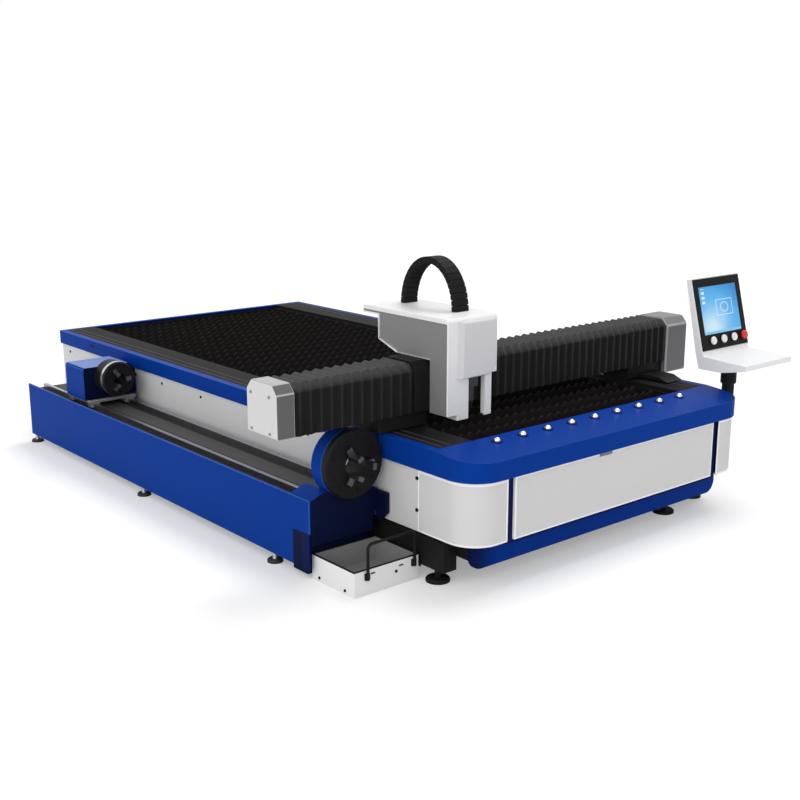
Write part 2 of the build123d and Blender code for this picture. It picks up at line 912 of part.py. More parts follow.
def on_face(u_share, v_share, w=0):
    """Place on the bezel at shares of its width and length."""
    u = (console_width - bezel_width) / 2 + u_share * bezel_width
    v = (face_length - bezel_length) / 2 + v_share * bezel_length
    return face_plane().location * Pos(u, v, w)


def button_places():
    return [on_face(share, button_row_share) for share in button_shares]


def make_console_housing():
    lean = radians(face_lean)
    head = (face_foot + face_length * sin(lean), face_bottom + face_length * cos(lean))
    back = (head[0] + console_thickness * cos(lean), head[1] - console_thickness * sin(lean))
    shelf = [(console_front, console_nose), (console_front, console_lip), (face_foot - proud, console_crease)]
    heel = [(face_foot + console_back_thickness, face_bottom), (console_heel, console_base),
            (console_belly, console_base)]
    outline = shelf + [(face_foot, face_bottom), head, back] + heel
    left = console_x - console_width / 2
    body = along_x(outline, (left, left + console_width))
    rims = body.faces().sort_by(Axis.X)[0].edges() + body.faces().sort_by(Axis.X)[-1].edges()
    long_rims = [edge for edge in rims if edge.length > 2 * console_thickness]
    body = fillet(long_rims, console_edge / 3)
    for place in button_places() + [on_face(stop_share, button_row_share)]:
        body -= place * Cylinder(stem_radius + fit_gap, 2 * well_depth)
    return body


def screen_frame(margin):
    """Block on the face over the screen, grown by a margin, as thick as the bezel."""
    width = (screen_right_share - screen_left_share) * bezel_width + 2 * margin
    height = (screen_high_share - screen_low_share) * bezel_length + 2 * margin
    middle = ((screen_left_share + screen_right_share) / 2, (screen_low_share + screen_high_share) / 2)
    return on_face(*middle, bezel_plate / 2) * Box(width, height, bezel_plate)


def make_console_bezel():
    plate = on_face(0.5, 0.5, bezel_plate / 2) * Box(bezel_width, bezel_length, bezel_plate)
    plate -= screen_frame(fit_gap)
    for place in button_places() + [on_face(stop_share, button_row_share)]:
        plate -= place * Cylinder(stem_radius + fit_gap, 4 * bezel_plate)
    return plate


def make_console_screen():
    return screen_frame(0)


def push_button(radius, height):
    """Mushroom cap on its stem, in a frame whose origin lies on the console face."""
    start = bezel_plate + button_lift
    stem = Pos(0, 0, (start - stem_depth) / 2) * Cylinder(stem_radius, start + stem_depth)
    cap = Pos(0, 0, start + height / 2) * Cylinder(radius, height)
    return stem + fillet(cap.edges().sort_by(Axis.Z)[-1], height / 2)


def make_console_post():
    foot_y = (post_y - arm_foot_along / 2, post_y + arm_foot_along / 2)
    post = block((skin, skin + arm_foot), foot_y, (arm_foot_bottom, arm_foot_top))
    arm_y = (post_y - arm_along / 2, post_y + arm_along / 2)
    post += block((skin + arm_foot, console_x), arm_y, (post_bottom, post_bottom + arm_height))
    top = console_base - collar_cap - slide_gap
    return post + round_z(console_x, post_y, post_radius, (post_bottom, top))


def make_console_collar():
    collar = round_z(console_x, post_y, collar_radius, (collar_bottom, console_base))
    collar = chamfer(collar.edges().sort_by(Axis.Z)[0], collar_taper)
    bore = (collar_bottom - overrun, console_base - collar_cap)
    return collar - round_z(console_x, post_y, post_radius + fit_gap, bore)


# Tube unit

def make_tube_bed():
    inner = tube_left + tube_plate
    right_wall = tube_right - tube_plate
    run = (tube_deck_front, tube_back)
    bed = block((tube_left, inner), (tube_front, tube_back), (tube_bottom, tube_wall_top))
    bed += block((right_wall, tube_right), run, (tube_bottom, tube_deck))
    bed += block((inner, right_wall), run, (tube_deck_low, tube_deck))
    sole = (tube_bottom, tube_bottom + tube_plate)
    bed += block((tube_left, tube_left + tube_flange), run, sole)
    bed += block((tube_right - tube_flange, tube_right), run, sole)
    bed -= block((tube_left - overrun, inner + overrun), (tube_notch_front, tube_notch_back),
                 (tube_bottom - overrun, tube_deck_low))
    return bed


def make_tube_feet():
    feet = []
    for x in (tube_left + tube_foot_inset, tube_right - tube_foot_inset):
        for y in tube_foot_places:
            pad = round_z(x, y, tube_foot_radius, (0, tube_foot_height))
            pad = chamfer(pad.edges().sort_by(Axis.Z)[-1], tube_foot_height / 3)
            feet.append(pad + round_z(x, y, tube_stud_radius, (tube_foot_height, tube_bottom)))
    return feet


def make_tube_rails():
    rails = []
    for x in (chuck_x - tube_rail_offset, chuck_x + tube_rail_offset):
        rails.append(block((x - tube_rail / 2, x + tube_rail / 2), (tube_rail_front, tube_rail_back),
                           (tube_deck, tube_deck + tube_rail)))
    return rails


def make_tie_brackets():
    top = beam_bottom
    return [block((tube_right, tube_right + tie_reach), (y, y + tie_along), (top - tie_plate, top))
            for y in tie_places]


def make_front_chuck_base():
    left = tube_left + tube_plate
    right_foot = tube_right - base_right_inset
    outline = [(left, base_bottom), (left, base_left_shoulder), (left + base_shoulder_run, base_top),
               (tube_right - base_right_run, base_top), (tube_right - base_right_run, base_right_step),
               (tube_right, base_right_shoulder), (tube_right, base_right_knee),
               (right_foot, base_right_foot), (right_foot, base_bottom)]
    base = along_y(outline, (base_front, tube_deck_front))
    through = (base_front - overrun, tube_deck_front + overrun)
    return base - round_y(chuck_x, chuck_z, front_disc_radius, through)


def make_front_chuck_housing():
    front = chuck_front_back + front_house_gap
    ends = (front, front + front_house_length)
    house = round_y(chuck_x, chuck_z, front_disc_radius, ends)
    through = (ends[0] - overrun, ends[1] + overrun)
    return house - round_y(chuck_x, chuck_z, front_spindle_radius + fit_gap, through)


def chuck_disc(radius, front, plate, spindle_radius, spindle_back, bore_radius):
    """Turned rotor: face plate, hollow spindle behind it and the bore for the tube."""
    disc = round_y(chuck_x, chuck_z, radius, (front, front + plate))
    disc = chamfer(disc.edges().sort_by(Axis.Y)[0], disc_edge)
    disc += round_y(chuck_x, chuck_z, spindle_radius, (front + plate, spindle_back))
    return disc - round_y(chuck_x, chuck_z, bore_radius, (front - overrun, spindle_back + overrun))


def make_front_chuck_disc():
    spindle_back = chuck_front_back + front_house_gap + front_house_length
    return chuck_disc(front_disc_radius, front_disc_front, front_disc_plate, front_spindle_radius,
                      spindle_back, front_bore_radius)


def chuck_jaws(front, inner, outer, width, base, height):
    """Jaws at even turns round the chuck: a base on the face of the disc and a finger at its inner end."""
    back = front - slide_gap
    jaw = block((inner, outer), (back - base, back), (-width / 2, width / 2))
    jaw += block((inner, inner + jaw_step), (back - height, back - base), (-width / 2, width / 2))
    turns = [index * 360 / jaw_count for index in range(jaw_count)]
    return [Pos(chuck_x, 0, chuck_z) * Rot(0, -turn, 0) * jaw for turn in turns]


def make_rear_carriage():
    width = (chuck_x - carriage_half, chuck_x + carriage_half)
    plate = block(width, (carriage_front, carriage_back), (carriage_low, carriage_low + carriage_plate))
    channel = tube_rail / 2 + guide_gap
    roof = tube_deck + tube_rail + slide_gap
    for x in (chuck_x - tube_rail_offset, chuck_x + tube_rail_offset):
        for front in (carriage_front, carriage_back - carriage_shoe):
            ends = (front, front + carriage_shoe)
            width = (x - carriage_shoe / 2, x + carriage_shoe / 2)
            shoe = block(width, ends, (carriage_shoe_low, carriage_low))
            past = (ends[0] - overrun, ends[1] + overrun)
            plate += shoe - block((x - channel, x + channel), past, (tube_deck, roof))
    return plate


def make_rear_chuck_housing():
    low = carriage_low + carriage_plate
    left = chuck_x - rear_house_half
    right = chuck_x + rear_house_half
    outline = [(left, low), (left, rear_house_top - rear_house_left_bevel),
               (left + rear_house_left_bevel, rear_house_top),
               (right - rear_house_right_bevel, rear_house_top),
               (right, rear_house_top - rear_house_right_bevel), (right, low)]
    house = along_y(outline, (rear_house_front, rear_house_back))
    bore = rear_spindle_radius + fit_gap
    return house - round_y(chuck_x, chuck_z, bore, (rear_house_front - overrun, rear_house_back + overrun))


def make_rear_chuck_disc():
    return chuck_disc(rear_disc_radius, rear_disc_front, rear_disc_plate, rear_spindle_radius,
                      rear_house_back, rear_bore_radius)


def make_catch_tray():
    return pan((catch_left, catch_right), (catch_front, catch_back), (0, catch_height), catch_wall, (0, 0, 1))


def make_tray_handle():
    y = catch_front - handle_stand
    corners = [(handle_left, y, handle_low), (handle_left, y, handle_top), (handle_right, y, handle_top),
               (handle_right, y, handle_low)]
    path = FilletPolyline(*corners, radius=handle_bend)
    section = Plane(origin=corners[0], z_dir=(0, 0, 1)) * Circle(handle_bar)
    bar = sweep(section, path=path)
    for x in (handle_left, handle_right):
        foot_z = (handle_low, handle_low + handle_foot_height)
        bar += block((x - handle_foot, x + handle_foot), (y, catch_front), foot_z)
    return bar


def save(name, shape):
    """Moves a piece, or a group of like pieces, to the common origin and writes it."""
    group = shape if isinstance(shape, list) else [shape]
    solids = [Pos(move_x, move_y, 0) * solid for piece in group for solid in piece.solids()]
    export_step(solids[0] if len(solids) == 1 else Compound(solids), f"parts/{name}.step")


os.makedirs("parts", exist_ok=True)

save("bed_frame", make_bed_frame())
save("bed_legs", make_bed_legs())
save("bed_feet", make_bed_feet())
save("side_panels", make_side_panels())
save("rear_panel", make_rear_panel())
save("corner_panels", list(make_corner_panels()))
save("front_lip", make_front_lip())
save("top_band", make_top_band())
save("front_skirt", make_front_skirt())
save("rail_covers", make_rail_covers())
save("slat_frame", make_slat_frame())
save("slats", make_slats())
save("bed_rails", make_bed_rails())
save("ball_cups", make_ball_cups())
save("balls", make_balls())
save("drawer_front", make_drawer_front())
save("drawer_tray", make_drawer_tray())
save("drawer_runners", make_drawer_runners())

save("gantry_beam", make_gantry_beam())
save("gantry_cap_left", make_gantry_cap_left())
save("gantry_cap_right", make_gantry_cap_right())
save("bellows_left", make_bellows((left_cap_inner, head_left - saddle_reach - slide_gap)))
save("bellows_right", make_bellows((head_right - saddle_inset + slide_gap, right_cap_inner)))
save("beam_rails", make_beam_rails())
save("gantry_feet", make_gantry_feet())

save("head_carriage", make_head_carriage())
save("head_shell", make_head_shell())
save("head_cheeks", make_head_cheeks())
save("head_front_box", make_head_front_box())
save("cable_arch", make_cable_arch())
save("z_slide", make_z_slide())
save("cutting_head", make_cutting_head())
save("nozzle", make_nozzle())

save("console_post", make_console_post())
save("console_collar", make_console_collar())
save("console_housing", make_console_housing())
save("console_bezel", make_console_bezel())
save("console_screen", make_console_screen())
for button_name, button_place in zip(("left_button", "middle_button", "right_button"), button_places()):
    save(button_name, button_place * push_button(button_radius, button_height))
save("stop_button", on_face(stop_share, button_row_share) * push_button(stop_radius, stop_height))

save("tube_bed", make_tube_bed())
save("tube_feet", make_tube_feet())
save("tube_rails", make_tube_rails())
save("tie_brackets", make_tie_brackets())
save("front_chuck_base", make_front_chuck_base())
save("front_chuck_housing", make_front_chuck_housing())
save("front_chuck_disc", make_front_chuck_disc())
front_jaws = chuck_jaws(front_disc_front, jaw_inner, jaw_outer, jaw_width, jaw_base, jaw_height)
for number, jaw in enumerate(front_jaws, 1):
    save(f"front_jaw_{number}", jaw)
save("rear_carriage", make_rear_carriage())
save("rear_chuck_housing", make_rear_chuck_housing())
save("rear_chuck_disc", make_rear_chuck_disc())
rear_jaws = chuck_jaws(rear_disc_front, rear_jaw_inner, rear_jaw_outer, rear_jaw_width, rear_jaw_base,
                       rear_jaw_height)
for number, jaw in enumerate(rear_jaws, 1):
    save(f"rear_jaw_{number}", jaw)
save("catch_tray", make_catch_tray())
save("tray_handle", make_tray_handle())
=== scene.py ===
# %% [markdown]
# # A fibre laser cutter for sheet and tube
# The imported model already holds every piece of the machine at its size and place. This lesson gives it its looks:
# folded sheet metal gets rounded edges with a painted highlight, the pleated covers become cloth, the chucks get
# their slots and screws, the console gets a lit screen, some faces and plates get painted light or shade, and a plain
# studio is put round it all.

# %% Load the machine
import json
from math import cos, radians, sin

import bmesh
import bpy
from mathutils import Euler, Matrix, Vector

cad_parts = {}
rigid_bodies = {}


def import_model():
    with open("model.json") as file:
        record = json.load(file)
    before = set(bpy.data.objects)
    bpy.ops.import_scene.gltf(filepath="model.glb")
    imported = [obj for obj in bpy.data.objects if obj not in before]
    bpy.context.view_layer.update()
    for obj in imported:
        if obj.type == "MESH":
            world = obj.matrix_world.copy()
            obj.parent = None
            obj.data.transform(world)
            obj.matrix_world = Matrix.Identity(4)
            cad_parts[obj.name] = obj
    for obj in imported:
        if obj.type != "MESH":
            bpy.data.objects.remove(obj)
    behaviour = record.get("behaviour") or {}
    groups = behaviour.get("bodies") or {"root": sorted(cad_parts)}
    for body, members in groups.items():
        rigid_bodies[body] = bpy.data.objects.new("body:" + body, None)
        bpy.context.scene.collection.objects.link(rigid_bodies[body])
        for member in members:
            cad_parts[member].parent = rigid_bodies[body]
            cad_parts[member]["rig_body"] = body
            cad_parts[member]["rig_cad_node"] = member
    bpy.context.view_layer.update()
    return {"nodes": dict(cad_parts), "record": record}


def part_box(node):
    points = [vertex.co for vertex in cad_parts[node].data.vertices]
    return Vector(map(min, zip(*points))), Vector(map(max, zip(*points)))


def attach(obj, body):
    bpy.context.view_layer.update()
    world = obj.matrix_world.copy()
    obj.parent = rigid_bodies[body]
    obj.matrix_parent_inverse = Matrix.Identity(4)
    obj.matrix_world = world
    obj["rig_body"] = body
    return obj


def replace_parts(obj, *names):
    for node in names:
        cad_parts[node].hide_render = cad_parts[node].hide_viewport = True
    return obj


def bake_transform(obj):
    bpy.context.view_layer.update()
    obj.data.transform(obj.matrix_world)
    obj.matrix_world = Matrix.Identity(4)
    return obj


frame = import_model()
nodes = frame["nodes"]
body_of = {node: body for body, members in frame["record"]["behaviour"]["bodies"].items() for node in members}
slot_of = {part["node"]: part["material_slot"] for part in frame["record"]["subparts"]}

# %% [markdown]
# ## Where things are
# The machine was laid out in millimetres from three planes: the bed's centre line, the front panels and the floor.
# Working in the same numbers here keeps every added screw where the sheet metal expects it, so one small function
# turns such a place into metres in the scene.

# %% Places on the machine
band_low, band_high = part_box("top_band")
home = Vector(((band_low.x + band_high.x) / 2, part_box("drawer_front")[0].y, 0))


def spot(x, y, z):
    """A place in millimetres from the centre line, the front panels and the floor."""
    return home + Vector((x, y, z)) / 1000


print("bed centre line and front panels lie at", [round(v, 4) for v in home])

# %% [markdown]
# ## Hand tools
# Every new piece starts as a primitive at its size and place and is shaped by operators on what is selected. These
# helpers do the handwork between the operators: clear the selection, pick faces or edges by a test, run a modifier
# and apply it, and hang the finished piece on the body that carries it.

# %% Selecting and shaping
def only(*pieces):
    """Leaves just these pieces selected, the first of them active."""
    bpy.ops.object.select_all(action="DESELECT")
    for piece in pieces:
        piece.select_set(True)
    bpy.context.view_layer.objects.active = pieces[0]


def edit(piece):
    only(piece)
    bpy.ops.object.mode_set(mode="EDIT")


def leave():
    bpy.ops.object.mode_set(mode="OBJECT")


def pick(piece, kind, test):
    """Selects the points, edges or faces of a piece in edit mode that pass a test."""
    bpy.ops.mesh.select_mode(type=kind)
    bpy.ops.mesh.select_all(action="DESELECT")
    mesh = bmesh.from_edit_mesh(piece.data)
    mesh.normal_update()
    for item in {"VERT": mesh.verts, "EDGE": mesh.edges, "FACE": mesh.faces}[kind]:
        if test(item):
            item.select_set(True)
    bmesh.update_edit_mesh(piece.data)


def modify(piece, kind, **settings):
    """Adds a modifier, sets it and applies it."""
    only(piece)
    modifier = piece.modifiers.new(kind.lower(), kind)
    for key, value in settings.items():
        setattr(modifier, key, value)
    bpy.ops.object.modifier_apply(modifier=modifier.name)


def settle(name):
    """Names the piece just added and moves its place, turn and size into its mesh."""
    piece = bpy.context.object
    piece.name = name
    only(piece)
    bpy.ops.object.transform_apply(location=True, rotation=True, scale=True)
    return piece


def block(name, low, high):
    """A cube stretched between two corners."""
    low, high = Vector(low), Vector(high)
    bpy.ops.mesh.primitive_cube_add(size=1, location=(low + high) / 2)
    bpy.context.object.scale = high - low
    return settle(name)


def drum(name, centre, radius, depth, turn=(0, 0, 0), sides=32):
    """A cylinder about a centre, upright unless it is turned."""
    bpy.ops.mesh.primitive_cylinder_add(vertices=sides, radius=radius, depth=depth, location=centre, rotation=turn)
    return settle(name)


def ring(name, centre, radius, wire, turn=(0, 0, 0)):
    """A round ring of round wire."""
    bpy.ops.mesh.primitive_torus_add(location=centre, rotation=turn, major_radius=radius, minor_radius=wire,
                                     major_segments=36, minor_segments=10)
    return settle(name)


def sharp(edge, angle=radians(30)):
    """True for an outside corner."""
    return len(edge.link_faces) == 2 and edge.calc_face_angle_signed(0) > angle


def soften(piece, width, test=sharp, segments=3, highlight=-1):
    """Rounds the edges that pass a test; the new faces may take another finish, a lighter painted highlight."""
    edit(piece)
    pick(piece, "EDGE", test)
    bpy.ops.mesh.bevel(offset=width, offset_type="OFFSET", segments=segments, profile=0.5, affect="EDGES",
                       clamp_overlap=True, material=highlight)
    leave()


def flat_look(piece, angle=radians(40)):
    """Smooth shading over the rounded edges, with the large faces kept flat."""
    only(piece)
    bpy.ops.object.shade_smooth_by_angle(angle=angle)
    modify(piece, "WEIGHTED_NORMAL", keep_sharp=True)


def coat(piece, *finishes):
    """Gives a piece its finishes; every face takes the first until told otherwise."""
    piece.data.materials.clear()
    for finish in finishes:
        piece.data.materials.append(finish)


def fit(piece, body):
    """Shades a finished piece and hangs it on its body."""
    flat_look(piece)
    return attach(piece, body)


def joined(name, pieces):
    """Several small pieces made one."""
    only(*pieces)
    bpy.ops.object.join()
    whole = bpy.context.object
    whole.name = name
    return whole


def put(piece, turn, place):
    """Turns a piece's mesh about the origin, then moves it to its place."""
    piece.data.transform(turn.to_matrix().to_4x4())
    piece.data.transform(Matrix.Translation(place))


def plate(name, low, high, finish, body="bed", width=0):
    """A block in one finish, hung on a body; its edges are broken when a width is given."""
    piece = block(name, low, high)
    if width:
        soften(piece, width, segments=1)
    coat(piece, finish)
    return fit(piece, body)


print("hand tools ready")

# %% [markdown]
# ## Camera
# The photograph was taken from the front left, a little above head height. Its focal length and place were worked
# out from the edges of the bed, so the camera stands in the same spot and the picture can be laid over the photo.

# %% Camera
degrees_down, degrees_right = 13.7, 40
film_width, focal_length = 36, 52.1
camera = bpy.data.objects.new("camera", bpy.data.cameras.new("camera"))
bpy.context.scene.collection.objects.link(camera)
camera.location = spot(-4872, -3899, 2350)
camera.rotation_euler = Euler((radians(90 - degrees_down), 0, radians(-degrees_right)))
camera.data.sensor_width = film_width
camera.data.lens = focal_length
camera.data.clip_end = 200
bpy.context.scene.camera = camera
print("camera at", [round(v, 3) for v in camera.location])

# %% [markdown]
# ## A class for shader sums
# Finishes are built from nodes. Wired by hand, a sum of three textures takes a dozen lines, so a small class wraps a
# socket and lets plain Python sums on it add the Math nodes. One method adds any other node.

# %% Sockets and finishes
class Wire:
    """An output socket, with sums on it written as Python expressions."""

    def __init__(self, finish, socket):
        self.finish = finish
        self.socket = socket

    def maths(self, operation, first, second):
        return self.finish.node("ShaderNodeMath", {"operation": operation}, {0: first, 1: second})

    def __add__(self, other):
        return self.maths("ADD", self, other)

    def __sub__(self, other):
        return self.maths("SUBTRACT", self, other)

    def __rsub__(self, other):
        return self.maths("SUBTRACT", other, self)

    def __mul__(self, other):
        return self.maths("MULTIPLY", self, other)

    def __gt__(self, other):
        return self.maths("GREATER_THAN", self, other)

    def __lt__(self, other):
        return self.maths("LESS_THAN", self, other)

    def __abs__(self):
        return self.maths("ABSOLUTE", self, 0.0)

    def upto(self, other):
        return self.maths("MINIMUM", self, other)

    def over(self, other):
        return self.maths("MAXIMUM", self, other)


class Finish:
    """A material under construction: a Principled shader and the wires that feed it."""

    def __init__(self, name, **sockets):
        self.material = bpy.data.materials.new(name)
        self.material.use_nodes = True
        self.tree = self.material.node_tree
        self.shader = self.tree.nodes["Principled BSDF"]
        for key, value in sockets.items():
            self.shader.inputs[key.replace("_", " ")].default_value = value
        self.place = self.node("ShaderNodeTexCoord", {}, {}, "Object")

    def node(self, kind, settings, sockets, out=0):
        """Any node: its settings first, then the values or wires of its sockets."""
        made = self.tree.nodes.new(kind)
        for key, value in settings.items():
            setattr(made, key, value)
        for key, value in sockets.items():
            if isinstance(value, Wire):
                self.tree.links.new(value.socket, made.inputs[key])
            else:
                made.inputs[key].default_value = value
        return Wire(self, made.outputs[out])

    def feed(self, key, value):
        self.tree.links.new(value.socket, self.shader.inputs[key])

    def noise(self, scale, detail=2.0, place=None):
        return self.node("ShaderNodeTexNoise", {}, {"Vector": place or self.place, "Scale": scale, "Detail": detail},
                         "Fac")

    def step(self, value, low, high):
        """Goes from 0 to 1 as a value goes from low to high."""
        return self.node("ShaderNodeMapRange", {"interpolation_type": "SMOOTHSTEP"},
                         {"Value": value, "From Min": low, "From Max": high})

    def between(self, share, first, second):
        """A colour between two colours."""
        return self.node("ShaderNodeMix", {"data_type": "RGBA"}, {0: share, 6: first, 7: second}, 2)

    def bump(self, height, strength, distance):
        self.feed("Normal", self.node("ShaderNodeBump", {},
                                      {"Strength": strength, "Distance": distance, "Height": height}))

    def axis(self, which, place=None):
        """One coordinate of the place."""
        return self.node("ShaderNodeSeparateXYZ", {}, {0: place or self.place}, which)


def rgb(red, green, blue):
    return (red, green, blue, 1.0)


print("socket class ready")

# %% [markdown]
# ## Powder coat
# Most of the machine is sheet steel under baked powder coat: royal blue, white, grey and black. Powder coat has a
# faint orange-peel ripple, is never quite even in colour, and some paints here turn a little darker and greyer low
# down. Two noises give the unevenness, a third, a few millimetres in size, gives the ripple as a bump. Several paints
# are lighter or darker copies of another one: they carry painted highlights, light or shade.

# %% Paints
low_tint_from, low_tint_to = 0.05, 0.55
white_coat = ((0.710, 0.708, 0.710), (0.675, 0.672, 0.672), 0.38)


def paint(name, colour, shade, roughness, ripple=0.05, low_tint=None, gloss=0.16, painted_band=None):
    finish = Finish(name, Specular_IOR_Level=gloss)
    cloud = finish.noise(1.7, 4.0)
    fleck = finish.noise(55.0, 3.0)
    mix = finish.between(cloud * 0.75 + fleck * 0.25, rgb(*shade), rgb(*colour))
    # Darker and greyer towards the floor, broken up by a noise.
    if low_tint:
        low = 1 - finish.step(finish.axis(2), low_tint_from, low_tint_to)
        mix = finish.between(low * finish.noise(9.0, 5.0) * 0.30, mix, rgb(*low_tint))
    # A band in another colour where a mask says: a painted highlight or a painted shade.
    if painted_band:
        mask, tint = painted_band
        mix = finish.between(mask(finish), mix, rgb(*tint))
    finish.feed("Base Color", mix)
    finish.feed("Roughness", cloud * 0.10 + fleck * 0.06 + (roughness - 0.08))
    finish.bump(finish.noise(320.0, 2.0), ripple, 0.001)
    return finish.material


blue = paint("blue_paint", (0.003, 0.046, 0.320), (0.002, 0.038, 0.275), 0.36, low_tint=(0.010, 0.050, 0.26), gloss=0.02)
# A lighter blue for the rounded edges: a painted highlight.
blue_highlight = paint("blue_highlight", (0.020, 0.095, 0.430), (0.015, 0.080, 0.380), 0.30, gloss=0.08)
# A paler blue for the top of the rear chuck housing: painted light.
blue_lit_top = paint("blue_lit_top", (0.110, 0.190, 0.520), (0.095, 0.170, 0.480), 0.30, gloss=0.10)
# A darker blue for the recess in the skirt, round the balls and on the tube bed's corner: painted shade.
blue_in_shade = paint("blue_in_shade", (0.004, 0.011, 0.085), (0.003, 0.009, 0.070), 0.40, gloss=0.04)
# A blue near navy for faces turned from the light and for plates in dark gaps: painted shade.
blue_in_deep_shade = paint("navy_paint", (0.0045, 0.009, 0.042), (0.0035, 0.007, 0.032), 0.42, gloss=0.04)
white = paint("white_paint", *white_coat, low_tint=(0.64, 0.635, 0.62), gloss=0.08)
# A lighter white for the rounded edges: a painted highlight.
white_highlight = paint("white_highlight", (0.940, 0.940, 0.945), (0.910, 0.910, 0.912), 0.30, gloss=0.10)
# A brighter copy of the white paint for the hood, the tray and the console: painted light.
white_lit_copy = paint("white_lit_copy", (0.900, 0.900, 0.905), (0.870, 0.870, 0.872), 0.36, gloss=0.08)
grey = paint("grey_paint", (0.260, 0.258, 0.262), (0.232, 0.230, 0.234), 0.42, gloss=0.08)
# A lighter grey for the rounded edges and the top of the left cap: a painted highlight.
grey_highlight = paint("grey_highlight", (0.480, 0.478, 0.485), (0.430, 0.428, 0.435), 0.36, gloss=0.10)
cap_grey = paint("cap_grey", (0.205, 0.204, 0.207), (0.182, 0.181, 0.184), 0.42, gloss=0.08)
slate = paint("slate_paint", (0.146, 0.145, 0.148), (0.128, 0.127, 0.130), 0.42, gloss=0.08)
black = paint("black_paint", (0.015, 0.015, 0.016), (0.010, 0.010, 0.011), 0.45, gloss=0.08)
table_black = paint("table_black", (0.016, 0.015, 0.015), (0.010, 0.009, 0.009), 0.62, ripple=0.12, gloss=0.06)
deck_grey = paint("deck_grey", (0.026, 0.025, 0.025), (0.016, 0.015, 0.015), 0.55, gloss=0.06)
plate_grey = paint("plate_grey", (0.075, 0.072, 0.070), (0.055, 0.053, 0.052), 0.50, gloss=0.08)
print("paints:", len(bpy.data.materials))

# %% [markdown]
# ## Painted highlights on the front panels
# The panels in front are pressed sheets with a rolled edge, and the bright band about a centimetre wide where that
# edge catches the light is a painted highlight in the paint: a mask compares the place on the panel with the panel's
# own limits, read from the imported model. The skirt below them gets a painted shade towards its left end in the same
# way, where it lies under the corner panel.

# %% Bordered paints
drawer_low, drawer_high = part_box("drawer_front")
drawer_half = (drawer_high.x - drawer_low.x) / 2
corner_inner = min(abs(point.co.x - home.x) for point in nodes["corner_panels"].data.vertices)
skirt_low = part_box("front_skirt")[0]
highlight_width = 0.011
lip_gap = 0.006
skirt_shade_length = 0.22


def upper_and_lower(finish):
    height = finish.axis(2)
    return (height > drawer_high.z - highlight_width) + (height < drawer_low.z + highlight_width)


# Where the drawer front's edges get their painted highlight.
def drawer_highlight(finish):
    away = abs(finish.axis(0) - home.x)
    return (upper_and_lower(finish) + (away > drawer_half - highlight_width)).upto(1.0)


# Where the corner panels' edges get their painted highlight, also under the lip.
def corner_highlight(finish):
    height = finish.axis(2)
    away = abs(finish.axis(0) - home.x)
    under_lip = height > drawer_high.z - highlight_width - lip_gap
    return (upper_and_lower(finish) + under_lip + (away < corner_inner + highlight_width)).upto(1.0)


# Where the skirt's left end gets its painted shade.
def skirt_end_shade(finish):
    return 1 - finish.step(finish.axis(0), skirt_low.x, skirt_low.x + skirt_shade_length)


# White paint with a light band along the edges: a painted highlight.
def panel_paint(name, mask):
    return paint(name, *white_coat, gloss=0.08, painted_band=(mask, (0.95, 0.95, 0.955)))


drawer_white = panel_paint("drawer_white", drawer_highlight)
corner_white = panel_paint("corner_white", corner_highlight)
# The skirt's blue is a little darker than the blue paint, and darker still at its left end: painted shade.
skirt_blue_shaded = paint("skirt_blue_shaded", (0.003, 0.040, 0.290), (0.002, 0.033, 0.250), 0.36, gloss=0.02,
                   painted_band=(skirt_end_shade, (0.003, 0.010, 0.060)))
print("borders", highlight_width, "m wide, corner panels start", round(corner_inner, 3), "m from the centre line")

# %% [markdown]
# ## Bare metal
# Slats are flame-cut from hot rolled plate and soon burn brown and grey along their teeth. Rails are ground and show
# fine lines along their length. The chucks are blackened and turned, so their faces carry rings round the axis; a
# Mapping node moves the pattern's centre to the chucks' common axis.

# %% Metals
line_scale = 900.0
tooth_root, tooth_tip = 0.690, 0.716


def ground_steel(name, colour, roughness, along, metal=1.0):
    """Fine lines along one axis: noise stretched through a Mapping node."""
    finish = Finish(name, Metallic=metal)
    scale = [line_scale] * 3
    scale[along] = line_scale / 100
    lines = finish.noise(1.0, 3.0, finish.node("ShaderNodeMapping", {}, {"Vector": finish.place, "Scale": scale}))
    cloud = finish.noise(6.0, 3.0)
    dim = [0.72 * value for value in colour]
    finish.feed("Base Color", finish.between(lines * 0.6 + cloud * 0.4, rgb(*dim), rgb(*colour)))
    finish.feed("Roughness", lines * 0.16 + cloud * 0.08 + (roughness - 0.12))
    finish.bump(lines, 0.12, 0.0004)
    return finish.material


def slat_plate():
    finish = Finish("slat_steel", Metallic=0.2, Specular_IOR_Level=0.05)
    soot = finish.noise(14.0, 6.0)
    scale_skin = finish.noise(70.0, 5.0)
    tip = finish.step(finish.axis(2), tooth_root, tooth_tip)
    rolled = finish.between(scale_skin, rgb(0.014, 0.012, 0.012), rgb(0.028, 0.025, 0.024))
    burnt = finish.between(soot, rgb(0.036, 0.031, 0.029), rgb(0.075, 0.066, 0.061))
    finish.feed("Base Color", finish.between(tip * soot, rolled, burnt))
    finish.feed("Roughness", scale_skin * 0.3 + 0.60)
    finish.bump(scale_skin, 0.35, 0.001)
    return finish.material


def turned_black():
    finish = Finish("chuck_black", Specular_IOR_Level=0.12)
    to_axis = (-chuck_axis.x, 0.0, -chuck_axis.z)
    centred = finish.node("ShaderNodeMapping", {}, {"Vector": finish.place, "Location": to_axis})
    rings = finish.node("ShaderNodeTexWave", {"wave_type": "RINGS", "rings_direction": "Y"},
                        {"Vector": centred, "Scale": 90.0, "Distortion": 0.0}, "Fac")
    cloud = finish.noise(12.0, 4.0)
    finish.feed("Base Color", finish.between(cloud, rgb(0.006, 0.006, 0.007), rgb(0.012, 0.012, 0.013)))
    finish.feed("Roughness", rings * 0.08 + cloud * 0.12 + 0.34)
    finish.bump(rings, 0.10, 0.0005)
    return finish.material


